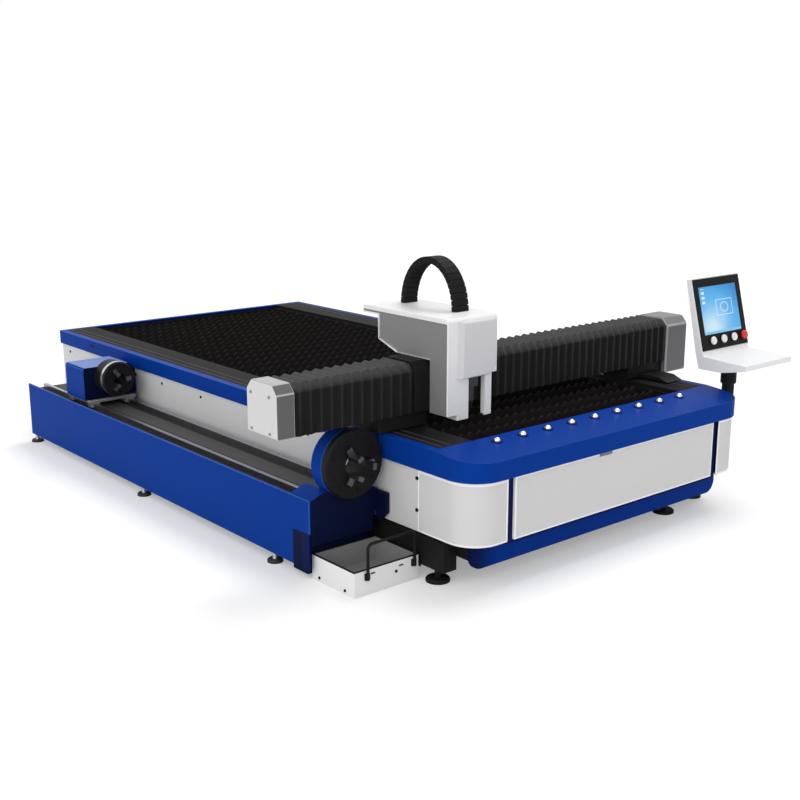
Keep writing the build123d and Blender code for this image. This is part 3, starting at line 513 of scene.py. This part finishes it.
disc_low, disc_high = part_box("front_chuck_disc")
chuck_axis = (disc_low + disc_high) / 2
slat_steel = slat_plate()
rail_steel = ground_steel("rail_steel", (0.46, 0.46, 0.47), 0.30, 1)
jaw_steel = ground_steel("jaw_steel", (0.16, 0.16, 0.17), 0.36, 1)
band_steel = ground_steel("band_steel", (0.74, 0.74, 0.75), 0.28, 1)
ball_steel = ground_steel("ball_steel", (0.90, 0.90, 0.92), 0.14, 2)
chuck_black = turned_black()
head_black = ground_steel("head_black", (0.055, 0.055, 0.060), 0.36, 2, 0.7)
nozzle_brass = ground_steel("nozzle_brass", (0.78, 0.50, 0.22), 0.26, 2)
print("metals ready, chuck axis at", [round(v, 3) for v in chuck_axis])

# %% [markdown]
# ## Moulded and rubber parts
# The cable chain, the bezel, the buttons and the feet are plastic or rubber. Moulded plastic is even in colour with a
# fine eroded grain. The feet of the tube bed stand on bright threaded studs, so one finish changes from rubber to
# zinc at the height where the stud starts.

# %% Plastics and rubber
def moulded(name, colour, roughness, grain, lacquer=0.0, gloss=0.12):
    finish = Finish(name, Coat_Weight=lacquer, Coat_Roughness=0.08, Specular_IOR_Level=gloss)
    cloud = finish.noise(20.0, 3.0)
    dim = [0.82 * value for value in colour]
    finish.feed("Base Color", finish.between(cloud, rgb(*dim), rgb(*colour)))
    finish.feed("Roughness", cloud * 0.10 + (roughness - 0.05))
    finish.bump(finish.noise(900.0, 2.0), grain, 0.0004)
    return finish.material


def foot_rubber(name, pad_height):
    finish = Finish(name)
    cloud = finish.noise(30.0, 3.0)
    thread = finish.node("ShaderNodeTexWave", {"bands_direction": "Z"},
                         {"Vector": finish.place, "Scale": 110.0}, "Fac")
    stud = finish.axis(2) > pad_height
    pad = finish.between(cloud, rgb(0.012, 0.012, 0.013), rgb(0.022, 0.022, 0.023))
    finish.feed("Base Color", finish.between(stud, pad, rgb(0.62, 0.63, 0.66)))
    finish.feed("Metallic", stud * 1.0)
    finish.feed("Roughness", 0.62 - stud * 0.36 + cloud * 0.08)
    finish.bump(thread * stud, 0.5, 0.002)
    return finish.material


chain_plastic = moulded("chain_plastic", (0.013, 0.013, 0.014), 0.50, 0.15, gloss=0.06)
bezel_black = moulded("bezel_black", (0.009, 0.009, 0.010), 0.30, 0.02, gloss=0.07)
button_white = moulded("button_white", (0.900, 0.900, 0.900), 0.24, 0.02, 0.3, 0.3)
button_red = moulded("button_red", (0.680, 0.012, 0.012), 0.26, 0.02, 0.3, 0.3)
foot_black = moulded("foot_black", (0.012, 0.012, 0.013), 0.60, 0.3)
rubber_black = moulded("rubber_black", (0.012, 0.012, 0.013), 0.65, 0.3)
stud_start = 0.0185
tube_rubber = foot_rubber("tube_rubber", stud_start)
liner = moulded("tray_liner", (0.330, 0.325, 0.330), 0.60, 0.3)
print("plastics ready")

# %% [markdown]
# ## Dressing the solids
# A solid from the CAD model has knife edges, and a knife edge catches no light. The real panels are folded, so each
# visible node is copied, its loose triangles are joined into whole faces, its outside corners are rounded, and the
# rounded strip takes a lighter coat, a painted highlight where the edge turns to the light. The copy then stands for
# the node.

# %% Rounded copies of the nodes
def whole_copy(node):
    """A copy of a node with its triangles merged into whole flat faces."""
    piece = nodes[node].copy()
    piece.data = nodes[node].data.copy()
    piece.name = node + "_finished"
    piece.parent = None
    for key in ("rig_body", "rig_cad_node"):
        del piece[key]
    bpy.context.scene.collection.objects.link(piece)
    only(piece)
    bpy.ops.mesh.customdata_custom_splitnormals_clear()
    piece.data.materials.clear()
    edit(piece)
    bpy.ops.mesh.select_all(action="SELECT")
    bpy.ops.mesh.remove_doubles(threshold=0.00001)
    bpy.ops.mesh.dissolve_limited(angle_limit=radians(0.6))
    leave()
    return piece


def stand_for(piece, node):
    fit(piece, body_of[node])
    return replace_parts(piece, node)


def outside_of(middle):
    """A test for edges whose two faces both turn away from a place inside the machine."""
    def test(edge):
        centre = (edge.verts[0].co + edge.verts[1].co) / 2
        return sharp(edge) and all(face.normal.dot(centre - middle) > 0 for face in edge.link_faces)
    return test


def dress(node, width, finish, highlight=None, inside=None):
    """Stands a rounded copy in for a node; its rounded strips may take a lighter finish, a painted highlight."""
    piece = whole_copy(node)
    coat(piece, finish, highlight or finish)
    soften(piece, width, outside_of(inside) if inside else sharp, highlight=1)
    return stand_for(piece, node)


def choose(piece, finish, test):
    """Gives another finish to the faces whose look and place pass a test."""
    piece.data.materials.append(finish)
    for face in piece.data.polygons:
        if test(face.normal, face.center):
            face.material_index = len(piece.data.materials) - 1


bar_round, fold_round, box_round, panel_round, long_round, cap_round = 0.003, 0.004, 0.005, 0.006, 0.007, 0.009
straight = 0.9
middle = spot(0, 2350, 440)
front_middle = spot(0, 700, 420)
skirt_shelf = 0.27
dress("corner_panels", panel_round, corner_white, white_highlight, front_middle)
dress("drawer_front", panel_round, drawer_white, white_highlight, front_middle)
dress("side_panels", long_round, white, white_highlight, middle)
dress("rear_panel", long_round, white, white_highlight, middle)
dress("front_lip", long_round, blue, blue_highlight, spot(0, 700, 640))
dress("top_band", fold_round, blue, blue_highlight, spot(0, 2350, 680))
skirt = dress("front_skirt", fold_round, skirt_blue_shaded, skirt_blue_shaded, spot(0, 700, 200))
# Faces above the shelf, in the recess between the panels, take the darker blue: painted shade.
choose(skirt, blue_in_shade, lambda look, place: place.z > skirt_shelf)
dress("rail_covers", bar_round, table_black)
tube_bed = dress("tube_bed", box_round, blue, blue_highlight)
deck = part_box("tube_rails")[0].z
choose(tube_bed, deck_grey, lambda look, place: look.z > straight and abs(place.z - deck) < 0.003)
# Faces above the deck that look to the right take the blue near navy: painted shade.
choose(tube_bed, blue_in_deep_shade, lambda look, place: look.x > straight and place.z > deck)
# The chuck base is blue near navy on its sides, painted shade, and plain blue on its tops.
chuck_base = dress("front_chuck_base", box_round, blue_in_deep_shade)
choose(chuck_base, blue, lambda look, place: look.z > 0.4)
dress("front_chuck_housing", box_round, blue, blue_highlight)
rear_house = dress("rear_chuck_housing", panel_round, blue, blue_highlight)
# Faces that look forward take the blue near navy: painted shade.
choose(rear_house, blue_in_deep_shade, lambda look, place: look.y < -0.5)
# Faces that look up take the paler blue: painted light on the top.
choose(rear_house, blue_lit_top, lambda look, place: look.z > straight)
dress("rear_carriage", bar_round, grey, grey_highlight)
dress("bed_legs", box_round, black)
for node in ("gantry_feet", "head_carriage", "console_post"):
    dress(node, bar_round, black)
right_cap = dress("gantry_cap_right", cap_round, cap_grey, grey_highlight)
# Faces that look up take a lighter grey: painted light on the top.
choose(right_cap, grey, lambda look, place: look.z > 0.6)

# %% Finishes for the nodes that stay as they are
kept = {"bed_frame": black, "bed_feet": foot_black, "slat_frame": table_black, "slats": slat_steel,
        # The ball cups take the darker blue: painted shade round each ball.
        "bed_rails": rail_steel, "ball_cups": blue_in_shade, "balls": ball_steel, "drawer_tray": black,
        "drawer_runners": black, "gantry_beam": black, "beam_rails": rail_steel, "cable_arch": chain_plastic,
        "z_slide": head_black, "head_cheeks": grey, "cutting_head": head_black, "nozzle": nozzle_brass,
        "console_collar": black, "console_bezel": bezel_black,
        "left_button": button_white, "middle_button": button_white,
        "right_button": button_white, "stop_button": button_red, "tube_feet": tube_rubber, "tube_rails": rail_steel,
        "tie_brackets": black, "front_chuck_disc": chuck_black, "rear_chuck_disc": chuck_black, "tray_handle": black}
for number in (1, 2, 3):
    kept[f"front_jaw_{number}"] = jaw_steel
    kept[f"rear_jaw_{number}"] = jaw_steel
for node, finish in kept.items():
    nodes[node].data.materials.clear()
    nodes[node].data.materials.append(finish)
print("plain nodes with a finish:", len(kept))

# %% [markdown]
# ## Pleated covers
# The gantry's rails hide under two bellows of coated cloth, stitched to stiff frames at each ridge. The CAD node has
# the folds; here their edges are softened into cloth, and each point remembers how near a ridge it lies and where it
# was at rest, so that wear, weave and the painted sheen on the top stay on the cloth when it is pushed together. One
# end of each cover is fixed to the gantry, the other to the head.

# %% Cloth for the covers
# The cover is painted lighter above these heights: a painted sheen along its top.
top_sheen_from, top_sheen_to = 1.035, 1.075
pleat_pitch = 0.062
fold_width = 0.0035
least_fold = radians(20)
level_run = 0.0005
end_margin = 0.001


def cover_cloth():
    finish = Finish("bellows_fabric", Specular_IOR_Level=0.10, Sheen_Weight=0.03, Sheen_Roughness=0.5)
    ridge = finish.node("ShaderNodeAttribute", {"attribute_name": "ridge"}, {}, "Fac")
    rest = finish.node("ShaderNodeAttribute", {"attribute_name": "rest"}, {}, "Vector")
    weave_x = finish.node("ShaderNodeTexWave", {"bands_direction": "X"}, {"Vector": rest, "Scale": 160.0}, "Fac")
    weave_z = finish.node("ShaderNodeTexWave", {"bands_direction": "Z"}, {"Vector": rest, "Scale": 160.0}, "Fac")
    cloud = finish.noise(5.0, 4.0, rest)
    cloth = finish.between(cloud, rgb(0.006, 0.006, 0.006), rgb(0.011, 0.011, 0.011))
    # The top of the cover is lighter: a painted reflection of the bright sky, broken up by a noise.
    top_sheen = finish.step(finish.axis(2, rest), top_sheen_from, top_sheen_to)
    cloth = finish.between(top_sheen * (cloud * 0.5 + 0.5), cloth, rgb(0.062, 0.061, 0.062))
    worn = finish.step(ridge + cloud * 0.3, 0.85, 1.2)
    finish.feed("Base Color", finish.between(worn * 0.8, cloth, rgb(0.034, 0.033, 0.034)))
    finish.feed("Roughness", cloud * 0.15 + 0.50 - worn * 0.1)
    finish.bump(weave_x * weave_z, 0.25, 0.0006)
    return finish.material


cloth = cover_cloth()


def pleated_cover(node):
    """A cloth copy of a cover that stretches between the gantry and the head."""
    piece = whole_copy(node)
    low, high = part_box(node)

    def fold(edge):
        """An edge round the cover, at a ridge or in a valley, clear of the two open ends."""
        start, end = (point.co.x for point in edge.verts)
        inner = low.x + end_margin < start < high.x - end_margin
        if not inner or abs(end - start) > level_run or len(edge.link_faces) != 2:
            return False
        return abs(edge.calc_face_angle_signed(0)) > least_fold

    soften(piece, fold_width, fold, segments=2)
    count = round((high.x - low.x) / pleat_pitch)
    step = (high.x - low.x) / (2 * count)
    ridge = piece.data.attributes.new("ridge", "FLOAT", "POINT")
    rest = piece.data.attributes.new("rest", "FLOAT_VECTOR", "POINT")
    for point in piece.data.vertices:
        phase = ((point.co.x - low.x) / step) % 2
        ridge.data[point.index].value = 1 - abs(phase - 1)
        rest.data[point.index].vector = point.co
    coat(piece, cloth)
    flat_look(piece, radians(25))
    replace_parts(piece, node)
    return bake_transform(piece)


pleated_cover("bellows_left")
pleated_cover("bellows_right")

# %% [markdown]
# ## The head and the gantry's end caps
# A white hood of folded sheet rides on the gantry, with a grey cheek set into each side and a box on its front. The
# left cap is a cast cover, dark in front, with a white plate on its outer side: its faces are sorted by the way they
# look, and those that look outwards take the white coat, those that look up a light grey one, which is painted light.
# The hood is thin sheet, so only its outer edges are rounded, and light grey strips show the thickness of the cheeks
# with a painted highlight.

# %% Hood, cheeks, front box and left cap
hood_low, hood_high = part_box("head_shell")
# The hood takes the brighter copy of the white: painted light.
dress("head_shell", fold_round, white_lit_copy, white_highlight, (hood_low + hood_high) / 2)
cheek_low, cheek_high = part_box("head_cheeks")
rim_out, rim_half = 0.0015, 0.004
cheek_edges = ((1060, 1221, 142, 90), (986.5, 1129.5, 162, 17.5), (772.5, 1097, 273, 0))
# Light grey strips along the cheeks' edges: a painted highlight.
highlight_strips = []
for x in (cheek_low.x, cheek_high.x):
    for y, z, length, tilt in cheek_edges:
        strip = block("highlight", (-rim_out, -length / 2000, -rim_half), (rim_out, length / 2000, rim_half))
        put(strip, Euler((radians(tilt), 0, 0)), (x, spot(0, y, 0).y, z / 1000))
        highlight_strips.append(strip)
cheek_highlights = joined("cheek_highlights", highlight_strips)
coat(cheek_highlights, grey_highlight)
fit(cheek_highlights, "head")
front_box = whole_copy("head_front_box")
coat(front_box, white)
stand_for(front_box, "head_front_box")
cap = whole_copy("gantry_cap_left")
coat(cap, slate, grey_highlight)
soften(cap, box_round, highlight=1)
choose(cap, white, lambda look, place: look.x < -0.7)
# Faces that look up take the lighter grey: painted light on the top.
choose(cap, grey_highlight, lambda look, place: look.z > 0.7)
stand_for(cap, "gantry_cap_left")
print("head and caps dressed")

# %% [markdown]
# ## Screws
# Covers are held by small dark socket screws. One screw is made from a cylinder: its head is rounded, and the socket
# is an inset pushed down. The rest are copies of it, turned to look the right way, and joined into one piece a body.

# %% One screw and its copies
def socket_screw(radius):
    """A screw head that looks along +Z, its foot at the origin."""
    screw = drum("screw", (0, 0, radius * 0.25), radius, radius * 0.7, sides=18)
    edit(screw)
    pick(screw, "FACE", lambda face: face.normal.z > straight)
    bpy.ops.mesh.inset(thickness=radius * 0.48)
    bpy.ops.mesh.extrude_region_move(TRANSFORM_OT_translate={"value": (0, 0, -radius * 0.4)})
    leave()
    soften(screw, radius * 0.14, lambda edge: sharp(edge) and edge.verts[0].co.z > radius * 0.5, segments=2)
    return screw


def screws(name, body, finish, radius, places, looks):
    """Copies of one screw at several places, all looking one way."""
    first = socket_screw(radius)
    turn = Vector((0, 0, 1)).rotation_difference(Vector(looks))
    copies = []
    for place in places:
        copy = first.copy()
        copy.data = first.data.copy()
        bpy.context.scene.collection.objects.link(copy)
        put(copy, turn, place)
        copies.append(copy)
    bpy.data.objects.remove(first)
    group = joined(name, copies)
    coat(group, finish)
    return fit(group, body)


side_face, rear_panel_face = 1135, 4701
panel_levels = (575, 300)
side_rows = (760, 1380, 1998, 2581, 3100, 3478, 4100, 4560)
rear_rows = (-1000, -500, 0, 500, 1000)
corner_row, corner_levels = 416, (544, 371)
cap_rows = (698, 860)
tray_rows, tray_screw_low = (471, 689), 0.022
tray_screw_x, tray_screw_up = -1295, 0.080
panel_screw, corner_screw, small_screw = 0.009, 0.010, 0.008
sides = (("", -1), ("_right", 1))
for tail, side in sides:
    screws("side_panel_screws" + tail, "bed", chain_plastic, panel_screw,
           [spot(side * side_face, y, z) for y in side_rows for z in panel_levels], (side, 0, 0))
for tail, side in sides:
    screws("corner_screws" + tail, "bed", chain_plastic, corner_screw,
           [spot(side * side_face, corner_row, z) for z in corner_levels], (side, 0, 0))
screws("rear_panel_screws", "bed", chain_plastic, panel_screw,
       [spot(x, rear_panel_face, z) for x in rear_rows for z in panel_levels], (0, 1, 0))
for (tail, side), cap_face, cap_levels in zip(sides, (-1845, 1396), ((1030, 845), (1030, 780))):
    screws("cap_screws" + tail, "gantry", rail_steel, small_screw,
           [spot(cap_face, y, z) for y in cap_rows for z in cap_levels], (side, 0, 0))
tray_low, tray_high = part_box("catch_tray")
screws("tray_screws", "bed", chain_plastic, small_screw,
       [(tray_low.x, spot(0, y, 0).y, tray_screw_low) for y in tray_rows], (-1, 0, 0))
screws("tray_screw_front", "bed", chain_plastic, small_screw,
       [(spot(tray_screw_x, 0, 0).x, tray_low.y, tray_screw_up)], (0, -1, 0))
print("screw groups made")

# %% [markdown]
# ## Sheets and plates
# The bed is not open to the floor: a bare dark sheet under the cross beams leads the slag to the drawer. More plates
# close the gaps beside the tube unit: a plinth under the front chuck, a plate on the deck and strips on the covers.
# The dark plinth and a dark sheet under the bed's left side are partly painted shade in the gaps, and two dark plates
# on the tube bed's front corner are painted shade where its wall is cut away.

# %% Slag sheet, small slots and pull plate
plate("slag_sheet", spot(-858, 140, 506), spot(858, 4560, 509), table_black)
slot_half, slot_rise, slot_face, slot_depth = 14, 4, 394.5, 2
slots = [block("slot", spot(-1149, 4113, 674), spot(-1146.5, 4173, 690))]
for x, z in ((-1447, 109), (-1261, 105)):
    slots.append(block("slot", spot(x - slot_half, slot_face, z - slot_rise),
                       spot(x + slot_half, slot_face + slot_depth, z + slot_rise)))
for slot_piece in slots:
    soften(slot_piece, 0.0006, segments=1)
slot_plates = joined("small_slots", slots)
coat(slot_plates, foot_black)
fit(slot_plates, "bed")
pull_left, pull_right = spot(-195, 0, 0).x, spot(-85, 0, 0).x
plate("pull_plate", (pull_left, drawer_low.y + 0.005, drawer_high.z - 0.020),
      (pull_right, drawer_low.y + 0.008, drawer_high.z - 0.001), grey, "slag_drawer")
print("slag sheet,", len(slots), "slots and a pull plate added")

# %% Deck plate, plinth and corner plates
rail_low, rail_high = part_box("tube_rails")
deck_inset, deck_sheet, sheet_round = 0.080, 0.004, 0.001
plate("deck_plate", rail_low + Vector((deck_inset, 0, 0)), (rail_high.x - deck_inset, rail_high.y, deck + deck_sheet),
      plate_grey, width=sheet_round)
wing_front, wing_foot, wing_cut = spot(0, 640, 0).y, 0.3, 0.050
# The plinth and the wing are blue near navy: partly the plinth under the chuck base, partly painted shade in the gaps
# beside it.
plinth = block("chuck_plinth", spot(-1593, 758, 25), spot(-1196, 890, 196))
wing = block("wing", spot(-1168, 634, 250), spot(-1142, 717, 412))
edit(wing)
pick(wing, "EDGE", lambda edge: all(v.co.y < wing_front and v.co.z < wing_foot for v in edge.verts))
bpy.ops.mesh.bevel(offset=wing_cut, offset_type="OFFSET", segments=1, affect="EDGES")
leave()
for piece in (plinth, wing):
    soften(piece, bar_round, segments=2)
    coat(piece, blue_in_deep_shade)
chuck_plinth = joined("chuck_plinth", [plinth, wing])
fit(chuck_plinth, "bed")
# A dark sheet under the bed's left side: partly a dark lower frame, partly painted shade under the bed.
plate("lower_sheet", spot(-1124, 400, 60), spot(-1120, 1500, 252), table_black)
bed_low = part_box("tube_bed")[0]
seam, plate_end, plate_inner = spot(0, 787, 0).y, spot(0, 870, 0).y, bed_low.x + 0.010
# Two dark plates on the tube bed's front corner: painted shade where the wall is cut away.
plate("corner_shade_plate", (bed_low.x - 0.0015, bed_low.y, bed_low.z), (plate_inner, seam, 0.258), blue_in_shade)
plate("corner_shade_plate", (bed_low.x - 0.0012, seam, bed_low.z), (plate_inner, plate_end, 0.254), blue_in_deep_shade)
print("deck plate, plinth and corner plates added")

# %% Strips on the rail covers
cover_low, cover_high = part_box("rail_covers")
outer_line, inner_line, strip_half, end_gap = 0.030, 0.085, 0.004, 0.02
strips = []
for x in (cover_low.x + outer_line, cover_low.x + inner_line, cover_high.x - outer_line, cover_high.x - inner_line):
    strips.append(block("strip", (x - strip_half, cover_low.y + end_gap, cover_high.z - 0.001),
                        (x + strip_half, cover_high.y - end_gap, cover_high.z + 0.0025)))
    soften(strips[-1], sheet_round, segments=1)
cover_strips = joined("cover_strips", strips)
coat(cover_strips, plate_grey)
fit(cover_strips, "bed")
print("strips on the covers:", len(strips))

# %% [markdown]
# ## Catch tray
# The white tray under the front chuck is lined with a dark mat and edged with a rubber strip. The liner is a block
# opened at the top: its top face is inset, and the middle is pushed down to the bottom of the tray.

# %% Tray and liner
# The tray takes the brighter copy of the white: painted light.
dress("catch_tray", 0.002, white_lit_copy, white_highlight)
wall, lining_rim, lining_floor = 0.0055, 0.002, 0.010
edging_foot, edging_out, edging_up, edging_wide = 0.134, 0.001, 0.0015, 0.0085
lining = block("tray_lining", tray_low + Vector((wall, wall, wall)), tray_high - Vector((wall, wall, 0.001)))
edit(lining)
pick(lining, "FACE", lambda face: face.normal.z > straight)
bpy.ops.mesh.inset(thickness=lining_rim)
lining_depth = tray_high.z - tray_low.z - lining_floor
bpy.ops.mesh.extrude_region_move(TRANSFORM_OT_translate={"value": (0, 0, -lining_depth)})
leave()
coat(lining, liner)
fit(lining, "bed")
edging = block("tray_edging", tray_low + Vector((-edging_out, -edging_out, edging_foot)),
               tray_high + Vector((edging_out, edging_out, edging_up)))
edit(edging)
pick(edging, "FACE", lambda face: abs(face.normal.z) > straight)
bpy.ops.mesh.inset(thickness=edging_wide, use_individual=True)
bpy.ops.mesh.bridge_edge_loops()
leave()
coat(edging, rubber_black)
fit(edging, "bed")
print("tray lined")

# %% [markdown]
# ## Console
# The operator's console is a white folded housing on a black post. Its face is a glossy black bezel with a lit
# screen, three white push buttons and a red stop button. Everything on the face is placed on a leaning plane.

# %% The leaning face
lean = radians(14.6)
face_right = Vector((1, 0, 0))
face_up = Vector((0, sin(lean), cos(lean)))
face_out = Vector((0, -cos(lean), sin(lean)))
bezel_corner = spot(1058, 264, 943)
bezel_width, bezel_length, bezel_foot = 473, 445, 6


def on_face(across, up, out):
    """A place on the bezel: shares of its width and length, and millimetres out of the housing's face."""
    rise = face_up * (bezel_foot + up * bezel_length)
    return bezel_corner + (face_right * across * bezel_width + rise + face_out * out) / 1000


face_turn = face_out.to_track_quat("Z", "Y").to_euler()
print("face looks along", [round(v, 3) for v in face_out])

# %% Screen picture
def screen_picture():
    """A generic page: a glowing blue ground, four keys, a bar and the outline of a sheet with a round hole."""
    finish = Finish("screen_glass", Roughness=0.25, Specular_IOR_Level=0.15, Emission_Strength=0.85)
    uv = finish.node("ShaderNodeTexCoord", {}, {}, "UV")
    across, up = finish.axis(0, uv), finish.axis(1, uv)

    def around(x, y):
        """Distance from a place on the page."""
        return finish.node("ShaderNodeVectorMath", {"operation": "DISTANCE"}, {0: uv, 1: (x, y, 0.0)}, "Value")

    def field(left, right, low, high):
        return (across > left) * (across < right) * (up > low) * (up < high)

    haze = finish.noise(2.5, 3.0, uv) * 0.25
    glow = around(0.25, 0.15) + haze
    page = finish.between(finish.step(glow, 0.10, 0.75), rgb(0.62, 0.86, 0.98), rgb(0.10, 0.47, 0.88))
    page = finish.between(finish.step(glow, 0.70, 1.30), page, rgb(0.02, 0.20, 0.58))
    sheet = field(0.40, 0.84, 0.36, 0.70) - field(0.412, 0.828, 0.374, 0.686)
    hole = abs(around(0.62, 0.53) - 0.10) < 0.008
    page = finish.between(sheet.over(hole) * 0.8, page, rgb(0.88, 0.96, 1.0))
    rows = finish.node("ShaderNodeMath", {"operation": "FRACT"}, {0: up * 10.0}) > 0.45
    page = finish.between(field(0.05, 0.13, 0.60, 0.96) * rows * 0.8, page, rgb(0.85, 0.95, 1.0))
    page = finish.between(field(0.0, 1.0, 0.0, 0.055), page, rgb(0.22, 0.58, 0.86))
    finish.feed("Base Color", finish.between(0.92, page, rgb(0.01, 0.01, 0.01)))
    finish.feed("Emission Color", page)
    return finish.material


nodes["console_screen"].data.materials.clear()
nodes["console_screen"].data.materials.append(bezel_black)
screen_left, screen_right, screen_foot, screen_top, screen_out = 0.085, 0.895, 0.215, 0.883, 7.4
screen_middle = on_face((screen_left + screen_right) / 2, (screen_foot + screen_top) / 2, screen_out)
bpy.ops.mesh.primitive_grid_add(x_subdivisions=8, y_subdivisions=8, size=1, location=screen_middle,
                                rotation=face_turn)
bpy.context.object.scale = ((screen_right - screen_left) * bezel_width / 1000,
                            (screen_top - screen_foot) * bezel_length / 1000, 1)
picture = settle("screen_picture")
coat(picture, screen_picture())
fit(picture, "console")
print("screen", [round(v, 3) for v in picture.dimensions])

# %% Housing and button rings
# The housing takes the brighter copy of the white: painted light.
dress("console_housing", fold_round, white_lit_copy, white_highlight)
button_shares = {"left_button": 0.225, "middle_button": 0.455, "right_button": 0.685, "stop_button": 0.905}
button_level, collar_out, collar_gap, collar_wire = 0.125, 8.0, 0.0035, 0.0022
collars = []
for node, share in button_shares.items():
    low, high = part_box(node)
    collar_radius = (high.x - low.x) / 2 + collar_gap
    collars.append(ring("collar", on_face(share, button_level, collar_out), collar_radius, collar_wire, face_turn))
button_collars = joined("button_collars", collars)
coat(button_collars, bezel_black)
fit(button_collars, "console")
print("console dressed")

# %% [markdown]
# ## Chuck faces
# Each chuck holds the tube with three jaws that slide in slots. The slot's guide strips are blocks with rounded
# edges, turned round the axis, and screws sit between the slots. The rear chuck wears a bright steel band.

# %% Guide strips, screws and the steel band
guide_gap, guide_half, guide_end = 0.006, 0.004, 0.012
screw_circle, screw_share = 0.76, 0.045


def chuck_face(prefix, jaw_half, strip_start):
    """Guide strips beside the jaws and screws between them; gives the face's centre and radius."""
    low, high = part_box(prefix + "_chuck_disc")
    centre = Vector((chuck_axis.x, low.y, chuck_axis.z))
    radius = (high.x - low.x) / 2
    body, slot = prefix + "_chuck", slot_of[prefix + "_chuck_disc"]
    strips = []
    for turn in (0, 120, 240):
        for side in (-1, 1):
            level = side * (jaw_half + guide_gap)
            strip = block("strip", (strip_start, -0.004, level - guide_half),
                          (radius - guide_end, 0.001, level + guide_half))
            soften(strip, 0.0012, segments=1)
            put(strip, Euler((0, radians(-turn), 0)), centre)
            strips.append(strip)
    guides = joined(prefix + "_chuck_strips", strips)
    coat(guides, chuck_black)
    fit(guides, body)
    angles = [radians(turn + off) for turn in (60, 180, 300) for off in (-22, 22)]
    places = [centre + Vector((cos(angle), 0, sin(angle))) * radius * screw_circle for angle in angles]
    screws(prefix + "_chuck_screws", body, chuck_black, radius * screw_share, places, (0, -1, 0))
    return centre, radius


chuck_face("front", 0.018, 0.066)
rear_face, rear_radius = chuck_face("rear", 0.014, 0.048)
band_place, band_width, band_proud = 0.030, 0.026, 0.0015
band = drum("rear_chuck_band", rear_face + Vector((0, band_place, 0)), rear_radius + band_proud, band_width,
            (radians(90), 0, 0), 64)
edit(band)
pick(band, "FACE", lambda face: abs(face.normal.y) > straight)
bpy.ops.mesh.inset(thickness=0.004)
bpy.ops.mesh.bridge_edge_loops()
leave()
coat(band, band_steel)
fit(band, "rear_chuck")
print("chuck faces done")

# %% [markdown]
# ## Studio
# The photograph has a white background and soft light. One sun from above and the right gives the shadow that falls
# to the left, a wider one lights the left sides, and a plain world fills the rest. The floor looks white to the camera
# and the world also in reflections, but both light the machine only at a plain level.

# %% Floor, world and sun
bpy.ops.mesh.primitive_plane_add(size=120, location=(0, 0, -0.0005))
floor = settle("floor")
floor_finish = Finish("floor", Roughness=0.9, Specular_IOR_Level=0.1, Emission_Strength=1.0)
seen = floor_finish.node("ShaderNodeLightPath", {}, {}, "Is Camera Ray")
speck = floor_finish.noise(0.3, 2.0)
mottled = floor_finish.between(speck, rgb(0.74, 0.74, 0.745), rgb(0.75, 0.75, 0.75))
floor_finish.feed("Base Color", floor_finish.between(seen, rgb(0.78, 0.78, 0.78), mottled))
floor_finish.feed("Emission Color", floor_finish.between(seen, rgb(0, 0, 0), rgb(0.30, 0.30, 0.30)))
coat(floor, floor_finish.material)

world = bpy.data.worlds.new("studio")
bpy.context.scene.world = world
world.use_nodes = True
tree = world.node_tree
back = tree.nodes["Background"]


def larger(first, second):
    """The larger of two of the world's outputs."""
    made = tree.nodes.new("ShaderNodeMath")
    made.operation = "MAXIMUM"
    tree.links.new(first, made.inputs[0])
    tree.links.new(second, made.inputs[1])
    return made.outputs[0]


rays = tree.nodes.new("ShaderNodeLightPath").outputs
bright = larger(larger(rays["Is Camera Ray"], rays["Is Glossy Ray"]), rays["Is Transmission Ray"])
level = tree.nodes.new("ShaderNodeMapRange")
level.inputs["To Min"].default_value = 0.62
level.inputs["To Max"].default_value = 1.0
tree.links.new(bright, level.inputs["Value"])
tree.links.new(level.outputs[0], back.inputs["Strength"])
back.inputs["Color"].default_value = rgb(1.0, 1.0, 1.0)

suns = (("main_sun", 1.2, 30, (-0.5, -0.1, -1.0)), ("side_sun", 1.0, 70, (1.0, 0.5, -0.55)))
for name, energy, spread, way in suns:
    sun = bpy.data.objects.new(name, bpy.data.lights.new(name, "SUN"))
    bpy.context.scene.collection.objects.link(sun)
    sun.data.energy = energy
    sun.data.angle = radians(spread)
    sun.rotation_euler = Vector(way).to_track_quat("-Z", "Y").to_euler()
bpy.context.scene.view_settings.view_transform = "Standard"
print("studio lit")
